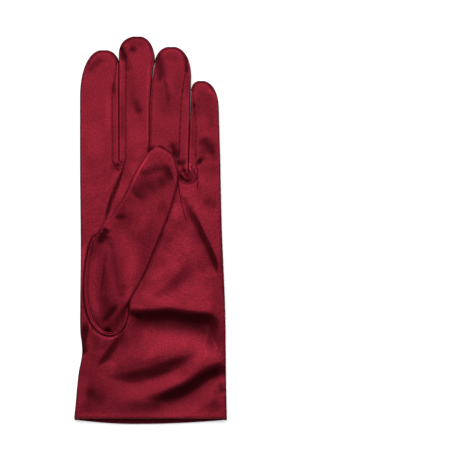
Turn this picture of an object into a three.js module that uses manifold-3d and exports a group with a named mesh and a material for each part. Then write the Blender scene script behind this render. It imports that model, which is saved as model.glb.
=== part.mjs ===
// A wrist-length satin dress glove for a left hand, lying palm up with its thumb folded over the palm.
// Millimetres. +X runs towards the little finger, +Y towards the fingertips and +Z up.
// The origin is the middle of the glove's footprint, on the surface that it lies on.
// The glove is sewn from a palm panel, a back panel, three fourchettes, the two halves of a set-in thumb
// and a turned hem.
import * as THREE from 'three';
import { mergeVertices } from 'three/addons/utils/BufferGeometryUtils.js';
import Module from 'manifold-3d';

// Overall sizes
const palmLength = 155; // edge of the cuff to the roots of the fingers
const palmWidth = 84; // across the finger roots
const cuffWidth = 92;
const indexLength = 68.8; // each finger from the root line to its tip
const middleLength = 77;
const ringLength = 70.8;
const littleLength = 50.4;
const sideHeight = 3.7; // the side seams lie this far above the surface
const palmRise = 5.7; // palm panel above the side seams
const fingerRise = 5.2; // finger fronts above the side seams
const backPress = 0.6; // how far the back would sag below the surface that flattens it
const wall = 1.1; // cloth
const seamGap = 0.3; // between neighbouring pieces
const fingerGap = 0.8; // between neighbouring fingers
const hemDepth = 14; // turned-up edge of the cuff
const hemGap = 0.4; // between the hem and the panels that it lies in
const cuffDip = 1.9; // the back of the cuff reaches this far past the front
const rootBlend = 18; // the fingers' roundness dies away into the palm over this length
const evenBlend = 60; // a panel's rows and columns even out over this length
const tipRound = 11; // length of a fingertip's rounding, seen from the side

// Roundness of the sections: 2 is an ellipse, and more is boxier
const fingerPower = 2.4;
const palmPower = 3.2;
const tipPower = 2.2;

// Faces along and across each panel
const palmRows = 22;
const backRows = 11;
const fingerRows = 11;
const palmColumns = 5;
const backColumns = 4;
const notchColumns = 4;
const sideColumns = 5;
const hemRows = 2;

// Palm outline. along: share of palmLength from the cuff. left, right: how far the edge stands out of
// half the palm's width, in shares of the cuff's flare. rise: share of palmRise.
const palmSections = [
  { along: 0, left: 1, right: 1, rise: 1.14 },
  { along: 0.08, left: 0.68, right: 0.93, rise: 1.12 },
  { along: 0.14, left: 0.48, right: 0.88, rise: 1.06 },
  { along: 0.2, left: 0.22, right: 0.85, rise: 1 },
  { along: 0.26, left: -0.22, right: 0.83, rise: 0.98 },
  { along: 0.3, left: -0.25, right: 0.8, rise: 0.97 },
  { along: 0.36, left: 0, right: 0.8, rise: 0.98 },
  { along: 0.48, left: 0, right: 0.68, rise: 1.02 },
  { along: 0.63, left: -0.07, right: 0.43, rise: 1.04 },
  { along: 0.76, left: -0.07, right: 0.22, rise: 1.02 },
  { along: 1, left: 0, right: 0, rise: 0.95 },
];

// Lines between the fingers and along the outer two. root, top: shares of half the palm's width, at the
// roots and at the tips. bend: how late the line leaves its root place. crotch: share of palmLength past
// the root line.
const fingerLines = [
  { root: -1, top: -1, bend: 1, crotch: 0 },
  { root: -0.456, top: -0.46, bend: 1, crotch: 0 },
  { root: -0.01, top: 0.062, bend: 5, crotch: 0 },
  { root: 0.543, top: 0.581, bend: 1, crotch: -0.025 },
  { root: 1, top: 0.976, bend: 1, crotch: -0.025 },
];

// Fingers from the index finger on. apex: the tip's place, in shares of half the palm's width. shoulders:
// where the tip starts to round, left and right, in shares of the length. seams: the palm panel's seams,
// left and right, in shares of the half width in from the finger's sides.
const fingers = [
  { name: 'index', length: indexLength, apex: -0.664, shoulders: [0.32, 0.13], seams: [0, 0.32] },
  { name: 'middle', length: middleLength, apex: -0.179, shoulders: [0.155, 0.19], seams: [0.48, 0.12] },
  { name: 'ring', length: ringLength, apex: 0.3, shoulders: [0.17, 0.28], seams: [0.12, 0.46] },
  { name: 'little', length: littleLength, apex: 0.721, shoulders: [0.16, 0.36], seams: [0.46, 0] },
];
const backSeam = 0.3; // the back panel's seams, in shares of the half width in from the finger's side
const wingEndRow = fingerRows - 2; // a fourchette's wing ends at this row of the finger
const wingEndGap = 0.1; // and stops short of it by this share of a row
const wingTaper = 0.3; // share of the wing over which it narrows
const smallestSeamAngle = 0.22; // of a wing's end, in radians

// Folds of the palm panel. start, end: shares of half the palm's width across, and of palmLength from the
// cuff. bow: sideways, as a share of the fold's length. reach: half width of its slope, as a share of
// palmWidth. step: rise of one side and fall of the other, and dent: depth of a groove, as shares of
// palmRise.
const palmFolds = {
  wrist: { start: [-0.26, 0.44], end: [0.95, 0.4], bow: 0, reach: 0.06, step: 0.3, dent: 0 },
  middle: { start: [-0.6, 0.18], end: [0.6, 0.27], bow: -0.04, reach: 0.05, step: 0.15, dent: 0 },
  cuff: { start: [0, 0.095], end: [0.97, 0.23], bow: -0.04, reach: 0.055, step: 0.24, dent: 0 },
  heel: { start: [0.43, 0.9], end: [0.95, 0.6], bow: 0.03, reach: 0.04, step: 0, dent: 0.18 },
  web: { start: [-0.38, 0.98], end: [-0.58, 0.81], bow: 0.05, reach: 0.035, step: 0, dent: 0.15 },
  thumbRoot: { start: [-0.42, 0.35], end: [-0.7, 0.25], bow: 0, reach: 0.04, step: 0, dent: 0.15 },
};
const foldFade = 0.1; // share of a fold's length over which its ends die away
const edgeFade = 0.06; // folds die away over this share of the width at the side seams

// Thumb hole in the palm panel, and the thumb, whose base fills it
const thumbHoleLength = 60;
const thumbHoleWidth = 24;
const thumbHoleTilt = THREE.MathUtils.degToRad(8.5); // its wrist end leans towards the little finger
const thumbHoleMiddle = [-0.657, 0.532]; // shares of half the palm's width, and of palmLength
const thumbHoleTaper = 0.36; // how much narrower the web end is
const thumbLength = 73; // fold of the thumb's root to its tip
const thumbWidth = 34;
const thumbLean = THREE.MathUtils.degToRad(21); // towards the little finger
const thumbFoldMiddle = [-0.461, 0.634]; // shares of half the palm's width, and of palmLength
const thumbTop = 4.6; // thumb's crown above its widest line
const thumbUnder = 2.9; // and its underside below that line
const thumbColumns = 10; // across each half
const thumbBaseRows = 4;
const thumbRows = 11;
const thumbBaseLift = 0.5; // the thumb's base clears the palm panel's face by this
const thumbClearance = 0.8; // and its underside clears the palm's crest by this

// Sides of the thumb. along: share of thumbLength from the fold. out: share of thumbWidth from its axis.
const thumbLeftSide = [
  { along: 0.27, out: -0.455 },
  { along: 0.32, out: -0.383 },
  { along: 0.51, out: -0.295 },
  { along: 0.72, out: -0.259 },
  { along: 0.88, out: -0.187 },
  { along: 0.945, out: -0.123 },
  { along: 0.985, out: -0.055 },
  { along: 1, out: 0 },
];
const thumbRightSide = [
  { along: -0.27, out: 0.457 },
  { along: -0.02, out: 0.517 },
  { along: 0.25, out: 0.54 },
  { along: 0.48, out: 0.556 },
  { along: 0.715, out: 0.517 },
  { along: 0.805, out: 0.475 },
  { along: 0.9, out: 0.35 },
  { along: 0.98, out: 0.17 },
  { along: 1, out: 0 },
];

const burgundy = '#8b1f33';
const hemBurgundy = '#7a1b2d';
const satin = { roughness: 0.42, metalness: 0.15 };

const halfPalm = palmWidth / 2;
const flare = (cuffWidth - palmWidth) / 2;
const longestFinger = Math.max(...fingers.map((finger) => finger.length));
const cuffEdge = -(palmLength + longestFinger) / 2;
const rootLine = cuffEdge + palmLength;
const front = 1;
const back = -1;
const smallAngle = 0.01;

const { clamp, lerp, smoothstep } = THREE.MathUtils;

// |value| to the share 2 / power, with the sign of value: turns a cosine or sine into a superellipse's
function rounded(value, power) {
  return Math.sign(value) * Math.abs(value) ** (2 / power);
}

// Height of a superellipse arch at a place from -1 to 1 across it
function arch(place, power) {
  return Math.max(0, 1 - Math.abs(clamp(place, -1, 1)) ** power) ** (1 / power);
}

// A table's column at a place along it, on a smooth curve through its rows
function tableAt(table, column, along) {
  const last = table.length - 1;
  const place = clamp(along, table[0].along, table[last].along);
  let i = 0;
  while (i < last - 1 && place > table[i + 1].along) i += 1;
  const slopeAt = (k) => {
    const before = table[Math.max(0, k - 1)];
    const after = table[Math.min(last, k + 1)];
    return (after[column] - before[column]) / (after.along - before.along);
  };
  const a = table[i];
  const b = table[i + 1];
  const span = b.along - a.along;
  const t = (place - a.along) / span;
  return (
    a[column] * (1 + 2 * t) * (1 - t) ** 2 +
    b[column] * (3 - 2 * t) * t ** 2 +
    slopeAt(i) * span * t * (1 - t) ** 2 -
    slopeAt(i + 1) * span * t ** 2 * (1 - t)
  );
}

// Side edges and rise of the palm at a height y along the glove
function palmSection(y) {
  const along = (y - cuffEdge) / palmLength;
  return {
    left: -halfPalm - flare * tableAt(palmSections, 'left', along),
    right: halfPalm + flare * tableAt(palmSections, 'right', along),
    rise: palmRise * tableAt(palmSections, 'rise', along),
  };
}

// A place on the palm from its shares of half the palm's width and of palmLength
function palmPoint([across, along]) {
  return new THREE.Vector2(across * halfPalm, cuffEdge + along * palmLength);
}

// How far the palm folds lift or lower the palm panel at a point
function foldLift(x, y) {
  let lift = 0;
  for (const fold of Object.values(palmFolds)) {
    const from = palmPoint(fold.start);
    const line = palmPoint(fold.end).sub(from);
    const length = line.length();
    const point = new THREE.Vector2(x, y).sub(from);
    const t = point.dot(line) / length ** 2;
    const bow = fold.bow * length * 4 * t * (1 - t);
    const off = (line.x * point.y - line.y * point.x) / length - bow;
    const place = off / (fold.reach * palmWidth);
    const bell = Math.exp(-(place ** 2) / 2);
    const fade = smoothstep(t, -foldFade, foldFade) * (1 - smoothstep(t, 1 - foldFade, 1 + foldFade));
    lift += palmRise * fade * bell * (fold.step * place * Math.sqrt(Math.E) - fold.dent);
  }
  const { left, right } = palmSection(y);
  const share = (x - left) / (right - left);
  return lift * smoothstep(share, 0, edgeFade) * smoothstep(1 - share, 0, edgeFade);
}

// Height of the front or back of the palm, at a share of the way across it
function palmHeight(face, share, x, y, inset) {
  const reach = arch(2 * share - 1, palmPower);
  if (face === back) {
    const sag = (sideHeight + backPress - inset) * reach;
    return Math.max(inset, sideHeight - seamGap / 2 - sag);
  }
  return sideHeight + seamGap / 2 + (palmSection(y).rise - inset) * reach + foldLift(x, y);
}

// Top of the palm panel at any point over the palm
function palmTop(x, y) {
  const { left, right } = palmSection(y);
  return palmHeight(front, (x - left) / (right - left), x, y, 0);
}

function crotchOf(line) {
  return rootLine + fingerLines[line].crotch * palmLength;
}

function apexOf(f, inset) {
  return rootLine + fingers[f].length - inset;
}

// The side of finger f at y. side is -1 for its left and 1 for its right, and inset moves it inwards.
function fingerSide(f, side, y, inset) {
  const finger = fingers[f];
  const index = side < 0 ? f : f + 1;
  const line = fingerLines[index];
  const shoulder = finger.length * finger.shoulders[side < 0 ? 0 : 1];
  const shoulderY = apexOf(f, 0) - shoulder;
  const climb = clamp((y - rootLine) / (shoulderY - rootLine), 0, 1);
  const straight = lerp(line.root, line.top, climb ** line.bend) * halfPalm;
  const between = index > 0 && index < fingers.length;
  const edge = straight - side * (inset + (between ? fingerGap / 2 : 0));
  const over = clamp((y - shoulderY) / (shoulder - inset), 0, 1);
  const apexX = finger.apex * halfPalm;
  return apexX + (edge - apexX) * (1 - over ** tipPower) ** (1 / tipPower);
}

// Middle and half width of finger f at y, and its share of full thickness, which dies away at the tip
function fingerSection(f, y, inset) {
  const left = fingerSide(f, -1, y, inset);
  const right = fingerSide(f, 1, y, inset);
  const over = clamp((y - apexOf(f, 0) + tipRound) / (tipRound - inset), 0, 1);
  return {
    middle: (left + right) / 2,
    half: (right - left) / 2,
    fullness: (1 - over ** tipPower) ** (1 / tipPower),
  };
}

// The y of row `row` of finger f, on its left or right side
function rowAt(f, side, row, inset) {
  const root = crotchOf(side < 0 ? f : f + 1);
  return root + (apexOf(f, inset) - root) * Math.sin((Math.PI / 2) * (row / fingerRows));
}

// Angle round the side of a finger, from its widest line to the front or back seam
function seamAngle(f, side, face, row) {
  const sewn = fingers[f].seams[side < 0 ? 0 : 1];
  if (sewn === 0 || row > wingEndRow) return 0;
  const share = face === front ? sewn : backSeam;
  const full = Math.acos((1 - share) ** (fingerPower / 2));
  const taper = 1 - smoothstep(row / wingEndRow, 1 - wingTaper, 1);
  return lerp(smallestSeamAngle, Math.max(full, smallestSeamAngle), taper);
}

// Height of a finger's front or back, at an angle round from its widest line
function fingerHeight(face, angle, fullness, inset) {
  const lift = rounded(Math.sin(angle), fingerPower) * fullness;
  if (face === front) return sideHeight + seamGap / 2 + (fingerRise - inset) * lift;
  const sag = (sideHeight + backPress - inset) * lift;
  return Math.max(inset, sideHeight - seamGap / 2 - sag);
}

const faceOf = (angle) => (angle < 0 ? back : front);

// A point on the side of finger f, at an angle up from its widest line
function sidePoint(f, side, row, angle, inset) {
  const y = rowAt(f, side, row, inset);
  const { middle, half, fullness } = fingerSection(f, y, inset);
  const across = side * rounded(Math.cos(angle), fingerPower);
  const z = fingerHeight(faceOf(angle), Math.abs(angle), fullness, inset);
  return new THREE.Vector3(middle + half * across, y, z);
}

// A point on the turn of the fourchette at a crotch. turn runs from 0, on the left finger, to 1.
function crotchPoint(line, turn, angle, inset) {
  const y = crotchOf(line);
  const leftHalf = fingerSection(line - 1, y, 0).half;
  const rightHalf = fingerSection(line, y, 0).half;
  const bearing = Math.PI * (1 + turn);
  const depth = lerp(leftHalf, rightHalf, turn) - inset;
  const out = fingerGap / 2 + inset + depth * (1 - rounded(Math.cos(angle), fingerPower));
  const x = fingerLines[line].root * halfPalm;
  const z = fingerHeight(faceOf(angle), Math.abs(angle), 1, inset);
  return new THREE.Vector3(x + out * Math.cos(bearing), y + out * Math.sin(bearing), z);
}

const crotchSwell = THREE.MathUtils.degToRad(8); // the notch runs this much further round at its foot

function crotchAngle(line, turn, face) {
  const left = seamAngle(line - 1, 1, face, 0);
  const right = seamAngle(line, -1, face, 0);
  return lerp(left, right, turn) + crotchSwell * Math.sin(Math.PI * turn);
}

// The angle that half a seam gap takes up, where the angle moves a point as `pointAt` says
function gapAngle(pointAt, angle) {
  const step = smallAngle;
  const speed = pointAt(angle + step).distanceTo(pointAt(angle - step)) / (2 * step);
  return seamGap / 2 / speed;
}

function sideSeam(f, side, face, row) {
  const angle = seamAngle(f, side, face, row);
  const gap = angle === 0 ? 0 : gapAngle((a) => sidePoint(f, side, row, face * a, 0), angle);
  return { angle, gap };
}

function crotchSeam(line, turn, face) {
  const angle = crotchAngle(line, turn, face);
  return { angle, gap: gapAngle((a) => crotchPoint(line, turn, face * a, 0), angle) };
}

// A surface with an outer and an inner point for each vertex, thickened into one closed solid
class Cloth {
  constructor() {
    this.outer = [];
    this.inner = [];
    this.index = new Map();
    this.faces = [];
  }

  vertex(place) {
    const outer = place(0);
    const key = outer.toArray().map((value) => Math.round(value * 1e4)).join();
    if (!this.index.has(key)) {
      this.index.set(key, this.outer.length);
      this.outer.push(outer);
      this.inner.push(place(wall));
    }
    return this.index.get(key);
  }

  // point(row, column, inset) gives the grid's points. turned swaps which side faces out.
  grid(rows, columns, point, turned = false) {
    for (let row = 0; row < rows; row += 1) {
      for (let column = 0; column < columns; column += 1) {
        const corner = (r, c) => this.vertex((inset) => point(row + r, column + c, inset));
        const [a, b, c, d] = [corner(0, 0), corner(0, 1), corner(1, 1), corner(1, 0)];
        const even = (row + column) % 2 === 0;
        const pair = even ? [[a, b, c], [a, c, d]] : [[a, b, d], [b, c, d]];
        for (const [p, q, r] of pair) {
          if (p !== q && q !== r && r !== p) this.faces.push(turned ? [p, r, q] : [p, q, r]);
        }
      }
    }
  }

  geometry() {
    const offset = this.outer.length;
    const triangles = [];
    const edges = new Set();
    for (const [a, b, c] of this.faces) {
      triangles.push([a, b, c], [a + offset, c + offset, b + offset]);
      edges.add(`${a},${b}`).add(`${b},${c}`).add(`${c},${a}`);
    }
    for (const edge of edges) {
      const [a, b] = edge.split(',').map(Number);
      if (edges.has(`${b},${a}`)) continue;
      triangles.push([b, a, a + offset], [b, a + offset, b + offset]);
    }
    const coordinates = [...this.outer, ...this.inner].flatMap((point) => point.toArray());
    const geometry = new THREE.BufferGeometry();
    geometry.setAttribute('position', new THREE.Float32BufferAttribute(coordinates, 3));
    geometry.setIndex(triangles.flat());
    geometry.computeVertexNormals();
    return geometry;
  }
}

function clothMesh(name, cloth, color = burgundy) {
  const mesh = new THREE.Mesh(cloth.geometry(), new THREE.MeshStandardMaterial({ color, ...satin }));
  mesh.name = name;
  return mesh;
}

// A point of a finger's front or back strip. step runs from 0 at its left seam to 1 at its right one.
function stripPoint(f, face, row, step, inset) {
  const left = sideSeam(f, -1, face, row);
  const right = sideSeam(f, 1, face, row);
  const start = left.angle + left.gap;
  const end = Math.PI - right.angle - right.gap;
  const angle = lerp(start, end, step);
  const across = -rounded(Math.cos(angle), fingerPower);
  const first = -rounded(Math.cos(start), fingerPower);
  const last = -rounded(Math.cos(end), fingerPower);
  const leftY = rowAt(f, -1, row, inset);
  const rightY = rowAt(f, 1, row, inset);
  const y = lerp(leftY, rightY, (across - first) / (last - first));
  const { middle, half, fullness } = fingerSection(f, y, inset);
  const z = fingerHeight(face, Math.max(0, Math.min(angle, Math.PI - angle)), fullness, inset);
  return new THREE.Vector3(middle + half * across, y, z);
}

// The palm panel or back panel at its root line: strips of the fingers, and the notches between them
function rootPoints(face, columns) {
  const points = [];
  fingers.forEach((finger, f) => {
    for (let i = 0; i <= columns; i += 1) {
      points.push((inset) => stripPoint(f, face, 0, i / columns, inset));
    }
    if (f === fingers.length - 1) return;
    for (let k = 1; k < notchColumns; k += 1) {
      const turn = k / notchColumns;
      const { angle, gap } = crotchSeam(f + 1, turn, face);
      points.push((inset) => crotchPoint(f + 1, turn, face * (angle + gap), inset));
    }
  });
  return points;
}

// Edge of the cuff, straight in front and dipping at the back
function hemLine(face, share) {
  return cuffEdge + cuffDip * (face === front ? 1 : (2 * share - 1) ** 2);
}

// A panel point below the root line. down runs from 0 there to 1 at the cuff.
function panelPoint(face, roots, column, down, inset) {
  const root = roots[column](inset);
  if (down === 0) return root;
  const last = roots.length - 1;
  const onSide = column % last === 0;
  const top = palmSection(root.y);
  const topWidth = top.right - top.left - 2 * inset;
  const rootShare = onSide ? column / last : (root.x - top.left - inset) / topWidth;
  const evenness = smoothstep(down * palmLength, 0, evenBlend);
  const share = lerp(rootShare, column / last, evenness);
  const y = lerp(rootLine, hemLine(face, share), down) + (root.y - rootLine) * (1 - evenness);
  const { left, right } = palmSection(y);
  const x = lerp(left + inset, right - inset, share);
  const fade = onSide ? 0 : 1 - smoothstep(root.y - y, 0, rootBlend);
  return new THREE.Vector3(x, y, lerp(palmHeight(face, share, x, y, inset), root.z, fade));
}

function panel(face, rows, columns) {
  const cloth = new Cloth();
  const turned = face === back;
  const roots = rootPoints(face, columns);
  const palmPlace = (row, column, inset) => panelPoint(face, roots, column, 1 - row / rows, inset);
  cloth.grid(rows, roots.length - 1, palmPlace, turned);
  fingers.forEach((finger, f) => {
    const stripPlace = (row, column, inset) => stripPoint(f, face, row, column / columns, inset);
    cloth.grid(fingerRows, columns, stripPlace, turned);
  });
  return cloth;
}

// One strip up the right side of a finger and the left side of the next, round the crotch between them
function fourchette(line) {
  const cloth = new Cloth();
  const steps = [];
  const step = (seam, place) => steps.push({ top: seam(front), under: seam(back), place });
  const wing = (f, side, panelRow) => {
    const row = Math.min(panelRow, wingEndRow - wingEndGap);
    step((face) => sideSeam(f, side, face, row), (angle, inset) => sidePoint(f, side, row, angle, inset));
  };
  for (let row = wingEndRow; row >= 0; row -= 1) wing(line - 1, 1, row);
  for (let k = 1; k < notchColumns; k += 1) {
    const turn = k / notchColumns;
    step((face) => crotchSeam(line, turn, face), (angle, inset) => crotchPoint(line, turn, angle, inset));
  }
  for (let row = 0; row <= wingEndRow; row += 1) wing(line, -1, row);
  const sidePlace = (row, column, inset) => {
    const { top, under, place } = steps[row];
    return place(lerp(top.angle - top.gap, under.gap - under.angle, column / sideColumns), inset);
  };
  cloth.grid(steps.length - 1, sideColumns, sidePlace, true);
  return cloth;
}

// Turned-up edge of the cuff, a band that lies inside the panels
function hem() {
  const cloth = new Cloth();
  const palmRoots = rootPoints(front, palmColumns);
  const backRoots = rootPoints(back, backColumns);
  const across = palmRoots.length - 1;
  const around = across + backRoots.length - 1;
  cloth.grid(hemRows, around, (row, column, inset) => {
    const down = 1 - (hemDepth / palmLength) * (row / hemRows);
    const depth = wall + hemGap + inset;
    const point =
      column < across
        ? panelPoint(front, palmRoots, column, down, depth)
        : panelPoint(back, backRoots, around - column, down, depth);
    if (column % around === 0 || column === across) point.z = sideHeight;
    return point;
  });
  return cloth;
}

// Angles round the thumb that half a seam gap takes up, at the web end of its hole and at the wrist end
const thumbWebGap = seamGap / (thumbHoleWidth * (1 - thumbHoleTaper));
const thumbWristGap = seamGap / (thumbHoleWidth * (1 + thumbHoleTaper));

// The egg-shaped thumb seam. round runs from 0 at the web, by the glove's side, to pi at the wrist end.
function thumbSeam(round, grow) {
  const long = thumbHoleLength / 2 + grow;
  const wide = (thumbHoleWidth / 2 + grow) * (1 - thumbHoleTaper * Math.cos(round));
  const up = new THREE.Vector2(-Math.sin(thumbHoleTilt), Math.cos(thumbHoleTilt));
  const left = new THREE.Vector2(-up.y, up.x);
  const point = palmPoint(thumbHoleMiddle);
  return point.addScaledVector(up, long * Math.cos(round)).addScaledVector(left, wide * Math.sin(round));
}

const thumbUp = new THREE.Vector2(Math.sin(thumbLean), Math.cos(thumbLean));
const thumbAcross = new THREE.Vector2(thumbUp.y, -thumbUp.x);

// A point of the thumb's side at a share of the way from its fold to its tip
function thumbSide(side, share, inset) {
  const last = side[side.length - 1].along - inset / thumbLength;
  const along = lerp(side[0].along, last, share);
  const out = tableAt(side, 'out', along);
  const point = palmPoint(thumbFoldMiddle).addScaledVector(thumbUp, along * thumbLength);
  return point.addScaledVector(thumbAcross, out * thumbWidth);
}

// A point of the thumb lying over the palm. share runs from 0 at its fold to 1 at its tip.
function thumbLying(face, share, round, inset) {
  const left = thumbSide(thumbLeftSide, share, inset);
  const right = thumbSide(thumbRightSide, share, inset);
  const chord = right.clone().sub(left);
  const width = chord.length();
  const keep = share < 1 && width > 2 * inset ? 1 - (2 * inset) / width : 0;
  const across = (1 - keep * rounded(Math.cos(round), fingerPower)) / 2;
  const point = left.clone().addScaledVector(chord, across);
  const full = Math.min(1, width / (2 * (thumbTop + thumbUnder)));
  const tall = face === front ? thumbTop : thumbUnder;
  const lift = rounded(Math.sin(round), fingerPower) * Math.max(0, tall * full - inset);
  const crest = sideHeight + seamGap / 2 + palmSection(point.y).rise;
  const rest = crest + Math.max(0, foldLift(point.x, point.y)) + thumbClearance + thumbUnder;
  return new THREE.Vector3(point.x, point.y, rest + lift + (face * seamGap) / 2);
}

// The thumb rises out of its seam as a ring, and leans over into the part that lies on the palm. Its front
// half is the side that shows, and its back half lies against the palm.
function thumbHalf(face) {
  const cloth = new Cloth();
  const first = face === front ? 0 : Math.PI;
  const [firstGap, lastGap] = face === front ? [thumbWebGap, thumbWristGap] : [thumbWristGap, thumbWebGap];
  // The halves' edges meet side by side in the ring, and one above the other from the fold on
  const roundAt = (column, lean) => {
    const open = 1 - Math.min(1, lean);
    return first + lerp(firstGap * open, Math.PI - lastGap * open, column / thumbColumns);
  };
  const ring = (round, lift, inset) => {
    const point = thumbSeam(round, -inset);
    const edge = thumbSeam(round, 0);
    return new THREE.Vector3(point.x, point.y, palmTop(edge.x, edge.y) + lift);
  };
  const point = (row, column, inset) => {
    const lean = Math.max(0, row - 1) / thumbBaseRows;
    const round = roundAt(column, lean);
    if (row === 0) return ring(round, -wall, inset);
    if (lean <= 1) return ring(round, thumbBaseLift, inset).lerp(thumbLying(face, 0, round, inset), lean);
    const share = (row - 1 - thumbBaseRows) / thumbRows;
    return thumbLying(face, Math.sin((Math.PI / 2) * share), round, inset);
  };
  cloth.grid(1 + thumbBaseRows + thumbRows, thumbColumns, point);
  return cloth;
}

const wasm = await Module();
wasm.setup();

function solidOf(geometry) {
  const bare = geometry.clone();
  bare.deleteAttribute('normal');
  bare.deleteAttribute('uv');
  const merged = mergeVertices(bare, 1e-4);
  const vertProperties = merged.attributes.position.array;
  const triVerts = new Uint32Array(merged.index.array);
  return new wasm.Manifold(new wasm.Mesh({ numProp: 3, vertProperties, triVerts }));
}

function geometryOf(solid) {
  const { numProp, vertProperties, triVerts } = solid.getMesh();
  const geometry = new THREE.BufferGeometry();
  const buffer = new THREE.InterleavedBuffer(vertProperties, numProp);
  geometry.setAttribute('position', new THREE.InterleavedBufferAttribute(buffer, 3, 0));
  geometry.setIndex(new THREE.BufferAttribute(triVerts, 1));
  return geometry.toNonIndexed();
}

// A prism that cuts the thumb hole through the palm panel and clears the thumb's base
function thumbHoleCutter() {
  const outline = [];
  const corners = 4 * thumbColumns;
  for (let i = 0; i < corners; i += 1) outline.push(thumbSeam((2 * Math.PI * i) / corners, seamGap));
  const depth = 2 * (palmRise + thumbTop + thumbUnder);
  const geometry = new THREE.ExtrudeGeometry(new THREE.Shape(outline), { depth, bevelEnabled: false });
  return geometry.translate(0, 0, sideHeight);
}

// The palm panel with the thumb hole cut through it
function palmPanel() {
  const mesh = clothMesh('palm_panel', panel(front, palmRows, palmColumns));
  mesh.geometry = geometryOf(solidOf(mesh.geometry).subtract(solidOf(thumbHoleCutter())));
  mesh.geometry.computeVertexNormals();
  return mesh;
}

const glove = new THREE.Group();
glove.name = 'glove';
glove.add(palmPanel());
glove.add(clothMesh('back_panel', panel(back, backRows, backColumns)));
for (let line = 1; line < fingers.length; line += 1) {
  glove.add(clothMesh(`fourchette_${fingers[line - 1].name}_${fingers[line].name}`, fourchette(line)));
}
glove.add(clothMesh('thumb_front', thumbHalf(front)));
glove.add(clothMesh('thumb_back', thumbHalf(back)));
glove.add(clothMesh('cuff_hem', hem(), hemBurgundy));

export default glove;
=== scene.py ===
# A wrist length satin dress glove for a left hand, lying palm up with its thumb folded over the palm.
# The shapes are worked out in millimetres and become metres when a mesh is made.
import math

import bpy
import numpy as np
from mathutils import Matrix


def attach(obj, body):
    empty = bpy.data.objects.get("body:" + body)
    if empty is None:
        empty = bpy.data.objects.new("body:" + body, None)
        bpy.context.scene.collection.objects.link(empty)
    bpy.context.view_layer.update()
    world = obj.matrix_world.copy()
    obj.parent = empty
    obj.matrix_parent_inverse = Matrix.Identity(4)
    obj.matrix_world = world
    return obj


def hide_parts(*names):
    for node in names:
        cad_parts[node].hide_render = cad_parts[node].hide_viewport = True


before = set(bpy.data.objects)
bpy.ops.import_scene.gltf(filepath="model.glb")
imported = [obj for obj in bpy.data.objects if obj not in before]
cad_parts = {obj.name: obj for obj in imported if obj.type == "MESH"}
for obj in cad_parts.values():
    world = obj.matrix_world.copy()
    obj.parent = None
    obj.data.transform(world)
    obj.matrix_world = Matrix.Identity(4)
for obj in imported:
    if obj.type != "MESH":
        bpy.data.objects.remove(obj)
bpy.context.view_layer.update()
print("frame loaded")

millimetre = 0.001
front, back = 1, -1

# The whole glove, in millimetres. The powers say how boxy a section is: 2 is round and more is boxier.
glove = {
    "palmLength": 155, "palmWidth": 84, "cuffWidth": 92, "wall": 1.1,
    "sideHeight": 3.7,      # the side seams lie this far above the surface
    "palmRise": 5.7,        # palm panel above the side seams
    "fingerRise": 5.2,      # finger fronts above the side seams
    "backPress": 0.6,       # how far the back would sag below the surface that flattens it
    "seamGap": 0.12, "fingerGap": 0.03,
    "fingerPower": 30, "palmPower": 36, "tipPower": 2.2, "crownPower": 6,
    "fingerAspect": 0.5,    # height of a finger's section above its seams, as a share of its half width
    "fingerArc": 14.0,      # from a finger's side to its crown, along the cloth
    "tipRound": 4,          # length of a fingertip's rounding, seen from the side
    "rootBlend": 9,         # the fingers' roundness dies away into the palm over this length
    "evenBlend": 60,        # the columns of a panel's faces even out over this length
    "dropReach": 3,         # a crotch gets its full depth this far from the middle of its gap
    "frontDip": 3.4,        # the front edge of the cuff stops this far short of the palm's length
    "dipAt": 0.4,           # the back edge hangs lowest at this share of its width,
    "dipBelow": 0.5,        # this far past the palm's length,
    "dipRise": 2.3,         # and rises by this much to its sides
    "cuffClose": 0.92,      # how nearly the two faces of the cloth meet at the cuff's folded edge
    "foldTaper": 0.8,       # folds weaken towards the sides by this power of the height
}
# Mesh columns and rows. Rows crowd towards the fingertips, and columns towards the sides of the palm.
mesh = {
    "palmRows": 176, "fingerRows": 100, "fingerColumns": 38, "notchColumns": 10, "sideColumns": 40,
    "sectionSteps": 1500, "tipCrowding": 0.65, "sideCrowding": 0.55,
    "cuffEdge": [0, 0.06, 0.15, 0.27, 0.4, 0.55, 1],    # rows of the folded edge, in millimetres from it
}
farAway = 99.0      # a distance past everything's reach, in millimetres

palmLeft = [(0, 1), (0.08, 0.68), (0.14, 0.48), (0.2, 0.22), (0.26, -0.22), (0.3, -0.25), (0.36, 0),
            (0.48, 0), (0.63, -0.07), (0.76, -0.07), (1, 0)]
palmRight = [(0, 1), (0.08, 0.93), (0.14, 0.88), (0.2, 0.85), (0.26, 0.83), (0.3, 0.8), (0.36, 0.8),
             (0.48, 0.68), (0.63, 0.43), (0.76, 0.22), (1, 0)]
palmCrown = [(0, 1.14), (0.08, 1.12), (0.14, 1.06), (0.2, 1), (0.26, 0.98), (0.3, 0.97), (0.36, 0.98),
             (0.48, 1.02), (0.63, 1.04), (0.76, 1.02), (1, 0.95)]

# Lines between the fingers: root and top are shares of half the palm's width, bend says how late the
# line leaves its root place, and crotch is in millimetres past the root line.
fingerLines = [
    {"root": -1, "top": -1, "bend": 1, "crotch": 0},
    {"root": -0.444, "top": -0.448, "bend": 1, "crotch": 2.4, "pointed": 1.25, "drop": 1.35},
    {"root": -0.01, "top": 0.062, "bend": 5, "crotch": 0, "pointed": 1.6, "drop": 1.3},
    {"root": 0.543, "top": 0.581, "bend": 1, "crotch": -3.9, "pointed": 2.3, "drop": 1.2},
    {"root": 1, "top": 0.976, "bend": 1, "crotch": -3.9},
]
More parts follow.
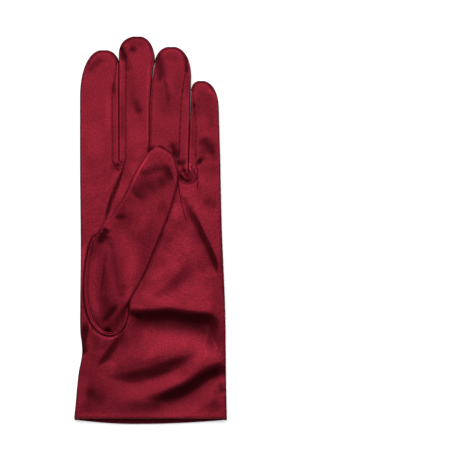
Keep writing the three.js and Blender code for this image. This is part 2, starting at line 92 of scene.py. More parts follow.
# seams: how far in from the finger's side the palm panel's seam runs, as shares of the finger's half
# width, at shares of the way from the root to the tip.
fingers = [
    {"name": "index", "length": 68.8, "apex": -0.664, "shoulders": (0.42, 0.13),
     "seams": (None, [(0, 0.33), (0.62, 0.33), (0.74, 0.2), (0.88, 0.13), (0.95, 0.03)])},
    {"name": "middle", "length": 77, "apex": -0.179, "shoulders": (0.14, 0.19),
     "seams": ([(0, 0.44), (0.6, 0.45), (0.78, 0.41), (0.88, 0.24), (0.95, 0.03)],
               [(0, 0.05), (0.5, 0.07), (0.85, 0.1), (0.95, 0.03)])},
    {"name": "ring", "length": 70.8, "apex": 0.3, "shoulders": (0.165, 0.25),
     "seams": ([(0, 0.06), (0.6, 0.07), (0.88, 0.08), (0.95, 0.03)],
               [(0, 0.56), (0.12, 0.5), (0.6, 0.42), (0.8, 0.26), (0.95, 0.03)])},
    {"name": "little", "length": 50.4, "apex": 0.721, "shoulders": (0.13, 0.34),
     "seams": ([(0, 0.58), (0.15, 0.46), (0.5, 0.42), (0.75, 0.2), (0.88, 0.1), (0.95, 0.03)], None)},
]
backSeam = [(0, 0.3), (0.7, 0.3), (0.95, 0.03)]
# A strip between two fingers ends at a share of their length. It narrows over a last share, down to a
# width in turns round the section.
wing = {"end": 0.95, "fade": 0.09, "narrowest": 0.02}
seamHalfGap = 0.004     # in turns
crotchBow = 0.03        # the seam round a crotch bows out by this much, in turns

# The cloth rolls into its seams, and gets painted shade along them
seamRoll = {"depth": 0.07, "width": 0.38, "dark": 0.42, "pucker": 0.5, "puckerPitch": 4.3}

# Folds of the front, in millimetres. A dent has a width, and a depth unless it is only painted shade or
# painted highlight. A negative depth raises the cloth. A fold has a crest on the left of its path, seen
# along it. It falls over the length "fall" to its depth on the right, and comes back up over the length
# "back".
# sharp is how abruptly it starts to fall. dark is how much painted shade it lays on the satin's colour, or
# painted highlight where it is negative, and a fold's painted shade fades over the length "fade". ends are
# the shares of its path over which it dies away.
frontFolds = {
    "indexTip": {"width": 2.4, "deep": 0.15, "dark": 0.55,
        "path": [(-38.1, 91.8), (-35.1, 96), (-31.5, 99.4), (-26.7, 102)]},
    "indexRoot": {"width": 3.6, "deep": 0.1, "dark": 0.2,
        "path": [(-29.7, 35.4), (-26.1, 33), (-21.9, 30)]},
    "indexRootLeft": {"width": 4.2, "dark": 0.22, "ends": (0.2, 0.2),
        "path": [(-39.9, 38.4), (-33.3, 37.8), (-24.3, 37.2)]},
    "indexStrip": {"width": 1.6, "dark": 0.14, "ends": (0.1, 0.1),
        "path": [(-21, 98.4), (-20.7, 78), (-20.7, 60), (-20.4, 42)]},
    "indexSeamSpot": {"width": 1.2, "dark": 0.6, "path": [(-21.9, 88.8), (-21.6, 85.2), (-21.6, 80.4)]},
    "indexLight": {"width": 8, "dark": -0.15, "path": [(-36.3, 78), (-34.5, 63), (-35.1, 48)]},
    "indexLightLow": {"width": 5.5, "dark": -0.28,
        "path": [(-41.1, 49.8), (-33.9, 48.6), (-25.5, 49.2)]},
    "leftEdgeLight": {"width": 1.1, "dark": -0.3, "ends": (0.1, 0.1),
        "path": [(-41.4, 90), (-41.4, 60), (-41.4, 33), (-41.1, 4.8)]},
    "indexSeamLight": {"width": 1.6, "dark": -0.3, "path": [(-25.2, 87.6), (-25.1, 72), (-25.1, 54)]},
    "middleTip": {"width": 2.8, "deep": 0.3, "dark": 1.2,
        "path": [(-18.6, 110.4), (-17.7, 106.5), (-16.2, 103.5), (-13.8, 100.8)]},
    "middleTipTail": {"width": 2, "deep": 0.15, "dark": 0.5,
        "path": [(-15.3, 104.4), (-13.8, 99), (-12.6, 92.4)]},
    "middleTipEdge": {"width": 1.3, "deep": 0.1, "dark": 0.9,
        "path": [(-18.7, 109.8), (-18.6, 106.2), (-18, 101.4)]},
    "middleTipTop": {"width": 2.4, "dark": 0.4, "path": [(-15.9, 111.9), (-8.7, 112.5), (-1.5, 110.1)]},
    "middleLight": {"width": 5, "dark": -0.25, "path": [(-13.5, 61.2), (-8.7, 57), (-5.7, 50.4)]},
    "middleSoft": {"width": 3.8, "dark": 0.35,
        "path": [(-14.1, 99.6), (-11.7, 88.8), (-9.9, 78), (-6.3, 67.8)]},
    "middleTipSpot": {"width": 2.2, "deep": 0.1, "dark": 0.9,
        "path": [(-12.9, 108.6), (-10.5, 107.7), (-8.1, 108.4)]},
    "middleStrip": {"width": 1.5, "dark": 0.55, "ends": (0.3, 0.4),
        "path": [(-16.8, 80.4), (-16.7, 70.8), (-16.7, 61.2), (-16.8, 50.4)]},
    "middleAcross": {"width": 2.2, "deep": 0.2, "dark": 0.45, "ends": (0.6, 0.25),
        "path": [(-11.7, 80.4), (-8.7, 75), (-6.9, 71.7), (-5.1, 67.2)]},
    "middleGap": {"width": 1, "dark": -0.6, "ends": (0.1, 0.1),
        "path": [(-0.5, 100.8), (-0.8, 84), (-1.1, 66), (-1.1, 50.4)]},
    "ringTip": {"width": 2.8, "deep": 0.25, "dark": 0.85, "ends": (0.25, 0.3),
        "path": [(3.9, 106.2), (5.4, 100.2), (6.3, 94.2), (6.3, 86.4)]},
    "ringCrease": {"width": 0.9, "deep": 0.12, "dark": 0.4,
        "path": [(7.8, 93.6), (8.4, 89.4), (9.6, 85.2), (10.3, 81.6), (11.1, 76.2), (10.8, 70.2)]},
    "ringSoft": {"width": 5, "dark": 0.35, "path": [(6.9, 92.4), (9.9, 79.2), (7.5, 64.8)]},
    "ringEdge": {"width": 3, "dark": 0.22, "path": [(17.7, 102), (16.8, 87), (16.2, 67.2)]},
    "ringSide": {"width": 1.5, "deep": 0.1, "dark": 0.55,
        "path": [(20.4, 105), (21.3, 100.8), (21.9, 97.2), (21.9, 91.8)]},
    "ringSideLow": {"width": 1.6, "dark": 0.4, "ends": (0.2, 0.3),
        "path": [(21.3, 102), (22.7, 93), (22.9, 82.8), (22.8, 74.4)]},
    "ringTipTop": {"width": 2.2, "dark": 0.4, "path": [(7.5, 103.2), (12.9, 103.5), (18.3, 101.4)]},
    "ringLight": {"width": 2.6, "dark": -0.3, "path": [(11.1, 90.6), (12, 85.2), (12.3, 79.2)]},
    "ringByThumb": {"width": 2.4, "deep": 0.2, "dark": 0.9,
        "path": [(11.7, 52.8), (14.4, 48), (17.1, 42)]},
    "littleTip": {"width": 3.8, "deep": 0.15, "dark": 0.35,
        "path": [(35.1, 82.8), (35.7, 73.2), (35.1, 63)]},
    "littleTipLight": {"width": 1.6, "dark": -0.3, "path": [(34.5, 85.2), (37.5, 81), (39.3, 75.6)]},
    "littleLeft": {"width": 2.6, "dark": 0.35, "path": [(27.3, 82.8), (28.5, 76.8), (27.9, 64.8)]},
    "littleWing": {"width": 1.3, "dark": 0.45, "ends": (0.1, 0.1),
        "path": [(24.7, 80.4), (25.1, 66), (25.3, 46.8)]},
    "littleSeamSpot": {"width": 0.9, "dark": 0.7, "path": [(26.1, 76.8), (26.4, 74.4), (26.7, 72)]},
    "littleAcross": {"width": 3.4, "deep": 0.35, "dark": 0.85, "ends": (0.3, 0.4),
        "path": [(29.7, 55.2), (33.3, 51), (36.3, 47.7), (39.9, 43.8)]},
    "littleBelow": {"width": 3, "dark": 0.4, "path": [(30.3, 49.8), (31.5, 44.4), (32.1, 39.6)]},
    "littleSide": {"width": 4, "dark": 0.3, "path": [(38.1, 42), (37.5, 33.6), (35.7, 25.2)]},
    "littleRoot": {"width": 2.3, "deep": 0.25, "dark": 1.05,
        "path": [(28.2, 41.4), (29.5, 40.6), (30.9, 39.7)]},
    "littleFoot": {"width": 3.2, "deep": 0.1, "dark": 0.5,
        "path": [(30.9, 18), (35.7, 15.6), (41.1, 13.2)]},
    "web": {"fall": 2.8, "deep": 0.6, "crest": 0.15, "back": 6, "sharp": 0.2, "dark": 0.6,
        "fade": 1.4, "ends": (0.2, 0.35),
        "path": [(-27.3, 3.6), (-24.9, 12), (-22.8, 19.2), (-20.1, 25.8), (-17.4, 32.4), (-15.3, 39),
                 (-14.1, 45.6)]},
    "heelTop": {"fall": 4.2, "deep": 0.8, "crest": 0.3, "back": 11, "sharp": 0.6, "dark": 0.45,
        "fade": 3.2, "ends": (0.4, 0.15),
        "path": [(18.3, 24), (23.7, 11.4), (27.3, 4.8), (30.9, -3), (33.9, -9), (36.9, -15.6),
                 (39.3, -22.8), (40.5, -27.6)]},
    "heelTopLow": {"width": 3, "dark": 0.4,
        "path": [(30.3, -8.4), (33.9, -14.4), (36.9, -20.4), (39.3, -27.6)]},
    "heelTail": {"width": 3, "dark": 0.35, "path": [(30.3, -22.2), (35.1, -25.2), (39.3, -28.2)]},
    "besideThumb": {"width": 1.3, "dark": 0.45, "ends": (0.2, 0.2),
        "path": [(9.9, 2.4), (4.5, -10.2), (-0.3, -20.4), (-6.3, -32.4)]},
    "palmSpot": {"width": 3, "dark": 0.25, "path": [(21.9, -28.2), (23.7, -31.2), (23.7, -34.8)]},
    "heelLight": {"width": 4.5, "dark": -0.65, "path": [(16.5, 18), (16.5, 10.8), (14.1, 3.6)]},
    "hollowTop": {"width": 4.2, "dark": 0.34, "path": [(9.3, 0), (16.5, 3), (24.9, 0.6)]},
    "palmLightLow": {"width": 6.5, "dark": -0.4, "ends": (0.2, 0.2),
        "path": [(21.3, -27.6), (28.5, -34.8), (33.3, -42)]},
    "wristCrest": {"width": 3, "dark": -0.3,
        "path": [(-6.3, -44.4), (8.7, -44.4), (23.7, -46.2), (36.9, -48.6)]},
    "besideSeam": {"width": 2.4, "dark": -0.85,
        "path": [(-38.1, -4.8), (-40.5, -15), (-41.4, -27), (-41.1, -42)]},
    "hollowLeft": {"width": 3.2, "deep": 0.1, "dark": 0.22,
        "path": [(15.9, 4.2), (13.5, 0), (11.7, -3.6), (8.7, -9.6)]},
    "hollowRight": {"fall": 7, "deep": 0.3, "crest": 0.15, "back": 9, "sharp": 0, "dark": 0.2,
        "ends": (0.3, 0.35),
        "path": [(-0.9, -41.4), (6.9, -37.2), (12.9, -33), (18.3, -27), (21.3, -21.6), (23.1, -16.8)]},
    "hollowEdge": {"width": 2.2, "dark": 0.18, "path": [(28.5, -16.8), (30.3, -22.2), (32.7, -27.6)]},
    "palmCrown": {"width": 6, "dark": -0.4, "path": [(11.7, -4.8), (14.7, -12), (12.9, -20.4)]},
    "palmCrownMiddle": {"width": 4.6, "dark": -0.4,
        "path": [(7.5, -22.8), (12.9, -22.2), (18.3, -19.2)]},
    "palmCrownUpper": {"width": 4, "dark": -0.25, "path": [(20.1, -3.6), (21.3, -10.2), (20.1, -15.6)]},
    "palmCrownLeft": {"width": 3.4, "dark": -0.3, "path": [(-3.3, -21.6), (-2.1, -15.6), (0.3, -10.8)]},
    "palmByThumb": {"width": 2.6, "dark": -0.45, "path": [(12.3, 6), (12.6, 2.4), (11.7, -1.8)]},
    "palmCrownLow": {"width": 4.6, "dark": -0.5,
        "path": [(-7.5, -37.8), (-0.3, -37.8), (7.5, -36), (15.3, -32.4)]},
    "wrist": {"fall": 7.4, "deep": 2, "crest": 0.45, "back": 24, "sharp": 0.7, "dark": 0.9,
        "fade": 8.5, "ends": (0.26, 0.14),
        "path": [(-15.9, -48.6), (-11.1, -49.2), (-5.7, -50.7), (0.3, -51.4), (6.9, -50.7), (12.9, -50.7),
                 (20.7, -51.9), (29.7, -52.8), (36.9, -53.7), (42.3, -55.5)]},
    "wristPoint": {"width": 2, "deep": 0.1, "dark": 0.7, "ends": (0.2, 0.4),
        "path": [(-13.2, -49.1), (-9.3, -50.7), (-3.9, -52.8)]},
    "wristCrestRight": {"width": 3.2, "dark": -0.35,
        "path": [(19.5, -42), (29.7, -43.8), (39.9, -46.2)]},
    "wristShade": {"width": 5, "dark": 0.6, "ends": (0.35, 0.25),
        "path": [(-6.3, -54), (3.3, -57), (12.9, -58.8), (21.9, -59.4), (31.5, -60), (39.3, -61.8)]},
    "wristTurn": {"width": 4.2, "deep": 0.05, "dark": 0.5, "ends": (0.3, 0.4),
        "path": [(36.3, -52.8), (39.9, -59.4), (41.7, -66), (42.3, -73.2)]},
    "wristDrop": {"width": 3, "dark": 0.35, "path": [(31.5, -57.6), (33.3, -63.6), (32.7, -70.2)]},
    "sideNotch": {"width": 2.1, "deep": 0.9, "dark": 0.9, "ends": (0.3, 0.15),
        "path": [(-38.7, -54.6), (-38.7, -60.6), (-39.9, -67.2), (-40.8, -75.6)]},
    "sideRidge": {"width": 1.4, "deep": -0.4, "dark": -0.35,
        "path": [(-34.5, -55.2), (-36.9, -60.6), (-38.4, -66), (-40.2, -73.8)]},
    "thumbFoot": {"fall": 5, "deep": 0.7, "crest": 0.2, "back": 9, "sharp": 0.1, "dark": 0.5,
        "fade": 5, "ends": (0.3, 0.35),
        "path": [(-31.5, -81.6), (-26.7, -76.2), (-23.1, -71.4), (-19.5, -65.4), (-15.9, -59.4)]},
    "thumbFootLeft": {"width": 2.8, "deep": 0.1, "dark": 0.5,
        "path": [(-32.7, -61.8), (-32.4, -67.8), (-33.3, -74.4)]},
    "thumbFootMiddle": {"width": 2.8, "dark": 0.45,
        "path": [(-23.7, -64.2), (-26.1, -68.4), (-29.1, -73.2)]},
    "middleCuff": {"fall": 8.4, "deep": 1, "crest": 0.25, "back": 13, "sharp": 0.1, "dark": 0.6,
        "fade": 5.5, "ends": (0.35, 0.3),
        "path": [(-27.9, -87), (-22.5, -87.9), (-17.1, -88.2), (-9.3, -87.6), (-0.3, -85.5),
                 (10.5, -81.6), (18.9, -78), (28.5, -73.5)]},
    "middleCuffSoft": {"width": 3.4, "dark": 0.4,
        "path": [(-28.5, -83.4), (-15.3, -83.4), (-1.5, -80.4), (6.9, -78)]},
    "middleCuffBelow": {"width": 2.8, "dark": 0.35,
        "path": [(-3.9, -88.8), (5.7, -86.4), (15.9, -83.4)]},
    "cuffLeftUpper": {"width": 3, "dark": 0.3, "path": [(-33.3, -79.2), (-27.3, -80.4), (-20.7, -81.6)]},
    "cuffCornerLeft": {"width": 4, "dark": 0.3,
        "path": [(-42.3, -104.4), (-38.7, -105), (-33.9, -104.4)]},
    "rightEdge": {"width": 0.9, "dark": 0.35, "ends": (0.1, 0.1),
        "path": [(41.9, 24), (42.6, -6), (43.8, -42)]},
    "rightEdgeLow": {"width": 1.2, "dark": 0.5, "ends": (0.1, 0.1),
        "path": [(44.7, -69), (45.1, -85.2), (45.4, -103.2)]},
    "lowCuff": {"fall": 8.4, "deep": 1.4, "crest": 0.35, "back": 12, "sharp": 0.2, "dark": 0.55,
        "fade": 6, "ends": (0.4, 0.06),
        "path": [(-6.3, -100.2), (3.3, -100.1), (11.1, -98.5), (19.5, -95.1), (26.1, -91.2), (32.1, -87),
                 (37.5, -84.4), (45.9, -81.9)]},
    "lowCuffShade": {"width": 5.6, "dark": 0.6, "ends": (0.4, 0.1),
        "path": [(-9.9, -102.6), (5.7, -102.3), (17.7, -98.7), (27.9, -93.3), (36.9, -87.3),
                 (45.3, -84.9)]},
    "cuffBroadShade": {"width": 12, "dark": 0.3, "ends": (0.05, 0.05),
        "path": [(-39.9, -99.6), (-18.3, -100.2), (5.7, -103.2), (42.9, -103.8)]},
    "cuffBroadShadeLeft": {"width": 9, "dark": 0.22, "ends": (0.2, 0.2),
        "path": [(-35.1, -69), (-37.5, -84), (-39.9, -103.2)]},
    "wristBroadShadeLeft": {"width": 9, "dark": 0.3, "ends": (0.2, 0.2),
        "path": [(-9.9, -60), (-7.5, -68.4), (-0.3, -75)]},
    "middleCuffAbove": {"width": 3.6, "dark": 0.45,
        "path": [(-5.1, -79.8), (8.7, -76.5), (22.5, -73.8), (33.3, -72)]},
    "betweenCuffs": {"width": 2.6, "dark": -0.35, "path": [(20.1, -84.6), (25.5, -81.6), (31.5, -78.6)]},
    "hemFaint": {"width": 4, "deep": 0.05, "dark": 0.4,
        "path": [(-15.9, -103.2), (-4.5, -105), (10.5, -106.2)]},
    "cuffLeft": {"width": 4.4, "deep": 0.1, "dark": 0.5,
        "path": [(-36.9, -92.4), (-33.9, -99.6), (-24.3, -103.2)]},
    "sideDentLower": {"width": 2.4, "deep": 0.1, "dark": 0.85,
        "path": [(41.7, -90.6), (42.6, -94.2), (43.8, -98.4)]},
    "hemRight": {"width": 2.2, "deep": 0.05, "dark": 0.25,
        "path": [(36.3, -102), (39.9, -105), (43.5, -108.6)]},
    "wristBelow": {"width": 6, "deep": -0.2, "dark": -0.12,
        "path": [(-1.5, -67.2), (11.7, -66.6), (29.7, -67.8)]},
    "cuffCrest": {"width": 3.4, "dark": -0.2, "path": [(31.5, -75.6), (36.9, -74.4), (43.5, -73.8)]},
    "hemCrest": {"width": 1.8, "deep": -0.12, "dark": -0.12, "ends": (0.04, 0.04),
        "path": [(-43.5, -111.3), (-12.3, -111.6), (17.7, -111.6), (44.1, -111.3)]},
    "knotLump": {"width": 4.4, "deep": -0.6, "dark": 0,
        "path": [(20.1, 33.6), (23.1, 35.1), (26.1, 37.2)]},
    "knotCrescent": {"width": 1, "deep": 0.3, "dark": 1.2, "ends": (0.1, 0.45),
        "path": [(17.7, 31.8), (20.1, 29.6), (23.1, 28.8), (26.4, 29.7)]},
    "knotSpot": {"width": 1.3, "deep": 0.3, "dark": 1.3,
        "path": [(17.3, 33.3), (17.9, 32.1), (18.5, 30.6)]},
    "knotCrease": {"width": 0.8, "deep": 0.25, "dark": 0.8,
        "path": [(17.1, 33.6), (20.1, 35.1), (23.1, 35.4)]},
    "knotFork": {"width": 0.7, "deep": 0.2, "dark": 0.7,
        "path": [(22.8, 36.3), (23, 34.2), (22.5, 31.5)]},
    "knotAbove": {"width": 2, "deep": 0.15, "dark": 1,
        "path": [(16.2, 40.2), (18.9, 39.9), (22.5, 40.2)]},
    "quirkEye": {"width": 1.4, "deep": 0.3, "dark": 1.4,
        "path": [(-20.3, 39.6), (-19.9, 38.6), (-19.7, 37.3)]},
    "quirkNick": {"width": 0.8, "deep": 0.1, "dark": 0.7,
        "path": [(-18.5, 39.6), (-17.7, 40.5), (-16.5, 41.3)]},
    "quirkInner": {"width": 0.75, "deep": 0.1, "dark": 0.5,
        "path": [(-22, 40.2), (-19.7, 36.6), (-17.4, 38.7), (-15, 41.4)]},
    "webLight": {"width": 1.6, "dark": -0.35,
        "path": [(-11.4, 34.8), (-14.7, 27.6), (-17.7, 20.4), (-20.7, 13.2)]},
    "footRight": {"width": 2, "dark": 0.5, "path": [(-14.1, -54), (-16.2, -59.4), (-18.9, -64.8)]},
    "wristShadeLeft": {"width": 3.4, "dark": 0.35,
        "path": [(-9.9, -52.2), (-5.7, -55.8), (-2.1, -61.2)]},
    "wristPointLight": {"width": 1.7, "dark": -0.5,
        "path": [(-12.9, -45.9), (-7.5, -46.4), (-1.5, -46.8)]},
    "palmCrownSide": {"width": 2.8, "dark": -0.4, "path": [(-0.3, -31.2), (5.7, -25.8), (10.5, -22.2)]},
    "hollowTopSide": {"width": 3, "dark": 0.3, "path": [(9.3, -3.6), (10.8, -8.4), (8.1, -13.8)]},
    "heelShade": {"width": 2.6, "dark": 0.35, "path": [(23.7, 2.4), (28.5, -3.6), (32.7, -11.4)]},
    "tipShadow": {"width": 1.2, "deep": 0.1, "dark": 0.9, "path": [(-2.7, 46.5), (0.3, 48), (3.9, 50.1)]},
    "tipShadowRight": {"width": 1.5, "deep": 0.1, "dark": 0.7,
        "path": [(12.9, 48), (15.3, 43.2), (17, 37.2)]},
    "littleAcrossEnd": {"width": 2.2, "dark": 0.5, "path": [(36.3, 48.6), (37.8, 44.4), (38.1, 40.2)]},
    "littleMiddle": {"width": 2.4, "dark": 0.35, "path": [(36.3, 69.6), (36.6, 64.8), (36.3, 60)]},
    "littleTipShade": {"width": 2.4, "dark": 0.35, "path": [(27.9, 80.4), (30.9, 81.9), (33.9, 79.8)]},
    "littleLight": {"width": 2.2, "dark": -0.25, "path": [(29.1, 57.6), (33.3, 57), (38.1, 56.4)]},
    "middleAcrossEnd": {"width": 1.8, "dark": 0.35, "path": [(-9, 73.8), (-6.9, 69.6), (-5.4, 64.8)]},
    "middleRootLight": {"width": 2.4, "dark": -0.3, "path": [(-9.9, 43.2), (-6.9, 46.2), (-3.3, 49.5)]},
    "ringLeftShade": {"width": 2, "dark": 0.35, "path": [(2.4, 90.6), (4.5, 89.7), (7.5, 89.4)]},
    "quirkShade": {"width": 1.9, "dark": 0.45, "path": [(-24, 40.2), (-21.6, 36), (-18, 37.2)]},
    "hemShadeRight": {"width": 2.2, "dark": 0.4, "path": [(36.9, -96), (40.5, -97.5), (43.5, -100.2)]},
    "hemLightRight": {"width": 2.6, "dark": -0.3,
        "path": [(22.5, -107.7), (29.1, -108.3), (36.3, -107.7)]},
}

# The thumb's folds, given as the front's: dark is painted shade, or painted highlight where it is negative
thumbFolds = {
    "tipArc": {"width": 2.6, "deep": 0.15, "dark": 0.7, "ends": (0.2, 0.2),
        "path": [(-7.5, 31.2), (-2.1, 33.6), (2.1, 35.2), (5.7, 36.1), (8.7, 35.5), (11.3, 33.4),
                 (14.1, 28.8)]},
    "tipArcEnd": {"width": 1.4, "deep": 0.1, "dark": 0.4,
        "path": [(7.5, 39), (10.5, 36.6), (12.3, 34.2)]},
    "upper": {"width": 6, "deep": 0.2, "dark": 0.75, "ends": (0.15, 0.4),
        "path": [(-9.9, 18), (-5.1, 23.4), (-0.3, 25.2), (5.7, 24), (10.5, 21.6)]},
    "upperLow": {"width": 3, "dark": 0.2, "path": [(-12.3, 18), (-6.3, 18.6), (1.5, 17.4)]},
    "upperRight": {"width": 4.2, "deep": 0.05, "dark": 0.7, "ends": (0.4, 0.1),
        "path": [(3.3, 26.4), (9.3, 29.4), (14.7, 31.2)]},
    "edgeSpot": {"width": 1.8, "deep": 0.2, "dark": 0.85, "ends": (0.2, 0.6),
        "path": [(-21.9, 6.6), (-19.5, 7.2), (-16.5, 7.5), (-11.7, 7.8)]},
    "crotch": {"width": 1.9, "deep": 0.3, "dark": 1.5, "ends": (0.25, 0.4),
        "path": [(-28.8, -0.5), (-26.4, -0.8), (-24.3, -3)]},
    "crotchLow": {"width": 2.3, "deep": 0.2, "dark": 1.5, "ends": (0.2, 0.5),
        "path": [(-26.7, -1.2), (-29.1, -5.4), (-31.5, -10.2)]},
    "crotchRim": {"width": 1.2, "dark": -0.5, "path": [(-29.7, 2.7), (-26.1, 2.1), (-22.5, -0.3)]},
    "crotchTail": {"width": 2.2, "deep": 0.1, "dark": 0.5, "ends": (0.2, 0.4),
        "path": [(-26.1, -2.4), (-24.3, -7.2), (-22.8, -13.2)]},
    "middle": {"width": 4.6, "dark": -0.6, "ends": (0.1, 0.3),
        "path": [(-15.9, 12.6), (-10.5, 12.6), (-5.1, 8.4), (0.9, 3.6)]},
    "middleLow": {"width": 4, "dark": -0.4, "path": [(-14.7, 2.4), (-6.9, 1.5), (-0.3, 4.2)]},
    "middleDark": {"width": 4.6, "dark": 0.5, "path": [(3.3, 13.8), (8.7, 12.9), (12.3, 13.8)]},
    "lightStrip": {"width": 4.6, "dark": -0.9,
        "path": [(-18.9, 3.6), (-14.7, -3.6), (-11.1, -10.8), (-9.9, -19.2), (-8.7, -30)]},
    "lightStripLow": {"width": 3.6, "dark": -0.5,
        "path": [(-14.1, -16.8), (-11.4, -27), (-12.3, -36), (-15.9, -45.6)]},
    "besideStrip": {"width": 2.4, "deep": 0.15, "dark": 0.45,
        "path": [(-23.4, -6), (-21.9, -15), (-20.7, -24), (-18.9, -33), (-18.3, -43.2)]},
    "thinCrease": {"width": 0.85, "deep": 0.15, "dark": 0.6,
        "path": [(-25.5, -9.6), (-27, -18), (-28.2, -27), (-29.1, -35.4), (-30.6, -44.4)]},
    "leftLight": {"width": 2.6, "dark": -0.8,
        "path": [(-33.6, -8.4), (-35.5, -19.2), (-36.1, -33), (-34.5, -45.6), (-32.1, -54)]},
    "leftLightInner": {"width": 1.8, "dark": -0.5, "ends": (0.15, 0.15),
        "path": [(-31.5, -12), (-32.7, -22.8), (-33, -34.8), (-32.1, -45.6), (-30.9, -52.2)]},
    "lower": {"width": 3.2, "deep": 0.1, "dark": 0.5,
        "path": [(-28.5, -37.2), (-26.7, -43.8), (-26.1, -51.6)]},
    "lowerAcross": {"width": 2.1, "deep": 0.3, "dark": 1,
        "path": [(-18.9, -43.2), (-23.4, -49.5), (-29.7, -56.4)]},
    "lowerRight": {"width": 2.3, "deep": 0.2, "dark": 0.5,
        "path": [(-15, -31.2), (-15.7, -36.6), (-17.7, -42.6)]},
    "foot": {"width": 2.4, "deep": 0.4, "dark": 1.3,
        "path": [(-28.5, -59.4), (-25.5, -60.6), (-21.9, -60.6)]},
    "leftEdge": {"width": 0.6, "deep": -0.1, "dark": -0.5, "ends": (0.1, 0.1),
        "path": [(-0.6, 44.4), (-3.9, 38.7), (-7.6, 32.1), (-10.8, 25.8), (-13.3, 21), (-17.1, 15.3),
                 (-20.7, 10.8)]},
    "seamTopLight": {"width": 1.6, "dark": -0.6, "path": [(-30.7, 0), (-32.8, -5.1), (-34.9, -11.4)]},
    "lowLeftLight": {"width": 2, "dark": -0.5, "path": [(-32.4, -40.8), (-32.5, -47.4), (-31.2, -53.4)]},
    "innerShade": {"width": 3, "dark": 0.35, "path": [(-14.7, -3), (-11.7, -3), (-8.1, -3)]},
    "besideCrease": {"width": 1.9, "dark": 0.35,
        "path": [(-26.7, -20.4), (-26.4, -30.6), (-26.4, -40.2)]},
    "tipRim": {"width": 1.6, "dark": -0.6, "path": [(3.6, 47.7), (7.5, 48.4), (12, 45.6)]},
}

halfPalm = glove["palmWidth"] / 2
cuffEdge = -(glove["palmLength"] + max(f["length"] for f in fingers)) / 2
rootLine = cuffEdge + glove["palmLength"]
cuffFlare = (glove["cuffWidth"] - glove["palmWidth"]) / 2    # on each side


def smooth(value):
    value = np.clip(value, 0, 1)
    return value * value * (3 - 2 * value)


def lerp(a, b, share):
    return a + (b - a) * share


def curveAt(rows, place):
    # A smooth curve through rows of (place, value)
    rows = np.array(rows, float)
    xs, ys = rows[:, 0], rows[:, 1]
    last = len(xs) - 1
    place = np.clip(place, xs[0], xs[-1])
    i = np.clip(np.searchsorted(xs, place, side="right") - 1, 0, last - 1)
    before = np.maximum(np.arange(last + 1) - 1, 0)
    after = np.minimum(np.arange(last + 1) + 1, last)
    slopes = (ys[after] - ys[before]) / (xs[after] - xs[before])
    span = xs[i + 1] - xs[i]
    t = (place - xs[i]) / span
    return (ys[i] * (1 + 2 * t) * (1 - t) ** 2 + ys[i + 1] * (3 - 2 * t) * t ** 2
            + slopes[i] * span * t * (1 - t) ** 2 - slopes[i + 1] * span * t ** 2 * (1 - t))


def sectionOf(power, aspect):
    # A quarter of a section with even steps along its arc: turn 0 is its side and turn 1 its crown
    angle = np.linspace(0, math.pi / 2, mesh["sectionSteps"] + 1)
    across = np.cos(angle) ** (2 / power)
    up = np.sin(angle) ** (2 / power)
    arc = np.concatenate([[0], np.cumsum(np.hypot(np.diff(across), aspect * np.diff(up)))])
    return {"arc": arc / arc[-1], "across": across, "up": up}


def sectionAt(section, turn):
    # across from -1 at turn 0 to 1 at turn 2, and the height from 0 to 1
    quarter = np.where(turn > 1, 2 - turn, turn)
    across = np.interp(quarter, section["arc"], section["across"])
    up = np.interp(quarter, section["arc"], section["up"])
    return np.where(turn > 1, across, -across), up


fingerShape = sectionOf(glove["fingerPower"], glove["fingerAspect"])


def palmSection(y):
    along = (y - cuffEdge) / glove["palmLength"]
    left = -halfPalm - cuffFlare * curveAt(palmLeft, along)
    right = halfPalm + cuffFlare * curveAt(palmRight, along)
    return left, right, glove["palmRise"] * curveAt(palmCrown, along)


def palmHeight(face, share, y, inset):
    reach = (1 - np.abs(np.clip(2 * share - 1, -1, 1)) ** glove["palmPower"]) ** (1 / glove["palmPower"])
    side, halfGap = glove["sideHeight"], glove["seamGap"] / 2
    if face == back:
        return np.maximum(inset, side - halfGap - (side + glove["backPress"] - inset) * reach)
    return side + halfGap + (palmSection(y)[2] - inset) * reach


def palmTop(x, y):
    left, right, _ = palmSection(y)
    return palmHeight(front, (x - left) / (right - left), y, 0)


def crotchOf(line):
    return rootLine + fingerLines[line]["crotch"]


def fingerSide(f, side, y, inset):
    finger = fingers[f]
    index = f if side < 0 else f + 1
    line = fingerLines[index]
    shoulder = finger["length"] * finger["shoulders"][0 if side < 0 else 1]
    shoulderY = rootLine + finger["length"] - shoulder
    climb = np.clip((y - rootLine) / (shoulderY - rootLine), 0, 1)
    straight = lerp(line["root"], line["top"], climb ** line["bend"]) * halfPalm
    between = 0 < index < len(fingers)
    edge = straight - side * (inset + (glove["fingerGap"] / 2 if between else 0))
    over = np.clip((y - shoulderY) / (shoulder - inset), 0, 1)
    apex = finger["apex"] * halfPalm
    power = glove["tipPower"]
    return apex + (edge - apex) * (1 - over ** power) ** (1 / power)


def fingerSection(f, y, inset):
    left, right = fingerSide(f, -1, y, inset), fingerSide(f, 1, y, inset)
    tip = rootLine + fingers[f]["length"]
    over = np.clip((y - tip + glove["tipRound"]) / (glove["tipRound"] - inset), 0, 1)
    power = glove["crownPower"]
    return (left + right) / 2, (right - left) / 2, (1 - over ** power) ** (1 / power)


def fingerHeight(face, up, inset):
    side, halfGap = glove["sideHeight"], glove["seamGap"] / 2
    if face == front:
        return side + halfGap + (glove["fingerRise"] - inset) * up
    return np.maximum(inset, side - halfGap - (side + glove["backPress"] - inset) * up)


rowShares = np.linspace(0, 1, mesh["fingerRows"] + 1)
rowShares = ((1 - mesh["tipCrowding"]) * rowShares
             + mesh["tipCrowding"] * np.sin(rowShares * math.pi / 2))
wingRows = int(np.sum(rowShares < wing["end"]))


def rowHeights(f, side, inset):
    root = crotchOf(f if side < 0 else f + 1)
    return root + (rootLine + fingers[f]["length"] - inset - root) * rowShares


